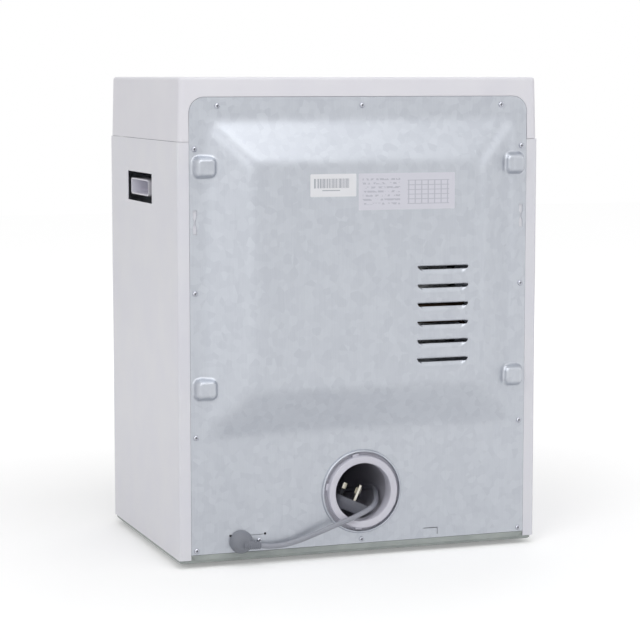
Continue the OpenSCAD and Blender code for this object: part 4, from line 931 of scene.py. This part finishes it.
def makeButton():
    lo, hi = box("start_button")
    x, z, r = (lo.x + hi.x) / 2, (lo.z + hi.z) / 2, (hi.x - lo.x) / 2
    bm = bmesh.new()
    spun(bm, [(0, lo.y + 0.7), (r * 0.6, lo.y + 0.5), (r - 1.4, lo.y), (r - 0.4, lo.y + 0.4), (r, lo.y + 1.2),
              (r, lo.y + 6), (3.5, lo.y + 6), (3.5, hi.y), (0, hi.y)], x, z, 48)
    place(bm, "start_key", knobWhite, "start", "knob", ["start_button"], smooth=30)
    cut = bmesh.new()  # room behind the key, so that it can be pressed
    drill(cut, r + 0.4, frontY - 2, frontY + 8, x, z, 48)
    cutBy(bpy.data.objects["top_moulding"], cut)


front = {"sheet": 1.2, "switchBore": 4.5, "switchAt": (177, 22), "catchSlot": 8, "filterWay": 62, "ledge": 2.2}


def makeFront():
    lo, hi = box("front_panel")
    bm = bmesh.new()
    block(bm, lo.x, hi.x, frontY, frontY + front["sheet"], lo.z, hi.z)
    piece = place(bm, "front_sheet", steelWhite, "cabinet", "white_steel", ["front_panel"], smooth=30)
    r, tall = door["opening"], front["catchSlot"]
    cut = bmesh.new()
    drill(cut, r, frontY - 3, frontY + 5, 0, doorZ, 144)
    a, b = box("door_catch")
    block(cut, a.x - 0.2, b.x - 1.5, frontY - 3, frontY + 4, doorZ - tall, doorZ + tall)
    x, above = front["switchAt"]
    drill(cut, front["switchBore"], frontY - 3, frontY + 4, x, doorZ + above, 24)
    cutBy(piece, cut)
    bm = bmesh.new()  # rolled collar of the door opening
    spun(bm, [(r, hi.y), (r, frontY + 1.5), (r + 0.5, frontY + 0.3), (r + 1.4, frontY), (r + 1.4, frontY + 1.2),
              (r + 1.2, hi.y)], 0, doorZ, 144)
    piece = place(bm, "opening_collar", steelWhite, "cabinet", "white_steel", smooth=30)
    cut = bmesh.new()  # the lint filter comes up through here
    half = front["filterWay"]
    block(cut, -half, half, frontY + front["ledge"], hi.y + 4, doorZ - r - 6, doorZ - r + 20)
    cutBy(piece, cut)


makeDoor()
makeFascia()
makeKnob("timer_knob", "timer", "knob", "timer_dial")
makeKnob("heat_knob", "heat", "knob", "heat_dial")
makeButton()
makeFront()
print("front made")

# CAD nodes that keep their shape get their real finishes
finishes = {
    "control_switches": darkPlastic, "door_liner": linerWhite, "door_seal": rubberDark, "door_catch": nylonWhite,
    "hinge_bracket": steelWhite, "hinge_pin": screwZinc, "door_latch": darkPlastic, "door_plunger": nylonWhite,
    "drum_shell": drumSteel, "drum_back": drumSteel, "drum_lifters": nylonWhite, "drum_shaft": canAluminium,
    "rear_bearing": bronze, "bearing_housing": castIron, "front_bulkhead": galvanised, "rear_bulkhead": galvanised,
    "drum_seals": feltGrey, "glide_pads": nylonWhite, "drive_belt": beltRubber, "motor_body": motorSteel,
    "motor_shaft": screwZinc, "motor_pulley": canAluminium, "motor_cradle": galvanised,
    "idler_bracket": galvanised, "idler_arm": castIron, "idler_pulley": nylonWhite, "idler_spring": screwZinc,
    "fan_impeller": nylonWhite, "fan_housing": ductWhite, "front_duct": ductWhite, "lint_filter": meshBlue,
    "exhaust_duct": ductWhite, "heater_housing": galvanised, "heater_element": elementSteel,
    "capacitor": canAluminium, "terminal_block": nylonWhite}
for nodeName, material in finishes.items():
    held = nodes[nodeName].data.materials
    held.clear()
    held.append(material)
print("carried nodes finished")

# stage
stageSettings = {"floorSize": 14, "near": 0.35, "far": 1.6, "nearLift": 0.26, "farLift": 0.56, "world": 0.47,
                 "key": 24, "top": 17, "fill": 5}


def seenDirectly(tree):  # 1 for what the camera, a gloss or a glass shows, 0 for what lights the object
    rays = addNode(tree, "ShaderNodeLightPath").outputs
    return either(tree, either(tree, rays["Is Camera Ray"], rays["Is Glossy Ray"]), rays["Is Transmission Ray"])


def makeStage():
    bm = bmesh.new()
    bmesh.ops.create_grid(bm, x_segments=1, y_segments=1, size=stageSettings["floorSize"] / 2)
    mesh = bpy.data.meshes.new("floor")
    bm.to_mesh(mesh)
    bm.free()
    floor = bpy.data.objects.new("floor", mesh)
    scene.collection.objects.link(floor)
    material = bpy.data.materials.new("paleFloorPainted")
    material.use_nodes = True
    tree = material.node_tree
    tree.nodes.clear()
    clear = seenDirectly(tree)
    spot = addNode(tree, "ShaderNodeTexCoord").outputs["Object"]
    away = addNode(tree, "ShaderNodeVectorMath", {}, {0: spot}, operation="LENGTH").outputs["Value"]
    level = addNode(tree, "ShaderNodeMapRange",
                    {"From Min": stageSettings["near"], "From Max": stageSettings["far"],
                     "To Min": stageSettings["nearLift"], "To Max": stageSettings["farLift"]}, {"Value": away})
    lift = times(tree, clear, level.outputs["Result"])
    glow = addNode(tree, "ShaderNodeEmission", {"Color": (1, 1, 1, 1)}, {"Strength": lift})
    matt = addNode(tree, "ShaderNodeBsdfDiffuse", {"Color": (0.9, 0.9, 0.9, 1)})
    both = addNode(tree, "ShaderNodeAddShader", {}, {0: glow.outputs[0], 1: matt.outputs[0]})
    addNode(tree, "ShaderNodeOutputMaterial", {}, {"Surface": both.outputs[0]})
    mesh.materials.append(material)

    world = bpy.data.worlds.new("studio")
    scene.world = world
    world.use_nodes = True
    tree = world.node_tree
    tree.nodes.clear()
    clear = seenDirectly(tree)
    level = addNode(tree, "ShaderNodeMapRange", {"To Min": stageSettings["world"], "To Max": 1.0},
                    {"Value": clear})
    sky = addNode(tree, "ShaderNodeBackground", {"Color": (1, 1, 1, 1)}, {"Strength": level.outputs["Result"]})
    addNode(tree, "ShaderNodeOutputWorld", {}, {"Surface": sky.outputs[0]})

    lamps = (("keyLight", (2.4, 2.6, 2.2), (0, 0, 0.3), 1.8, stageSettings["key"]),
             ("topLight", (0.2, 1.2, 2.6), (0, 0.1, 0.3), 1.6, stageSettings["top"]),
             ("frontLight", (-1.6, -2.6, 1.8), (0, 0, 0.3), 1.8, stageSettings["key"] * 0.6),
             ("sideLight", (-2.6, 1.4, 1.4), (0, 0, 0.3), 1.6, stageSettings["fill"]))
    for name, spot, target, size, power in lamps:
        lamp = bpy.data.lights.new(name, "AREA")
        lamp.energy = power
        lamp.size = size
        holder = bpy.data.objects.new(name, lamp)
        holder.location = spot
        holder.rotation_mode = "QUATERNION"
        holder.rotation_quaternion = (Vector(target) - Vector(spot)).to_track_quat("-Z", "Y")
        scene.collection.objects.link(holder)
    scene.view_settings.view_transform = "Standard"


makeStage()
print("stage lit")
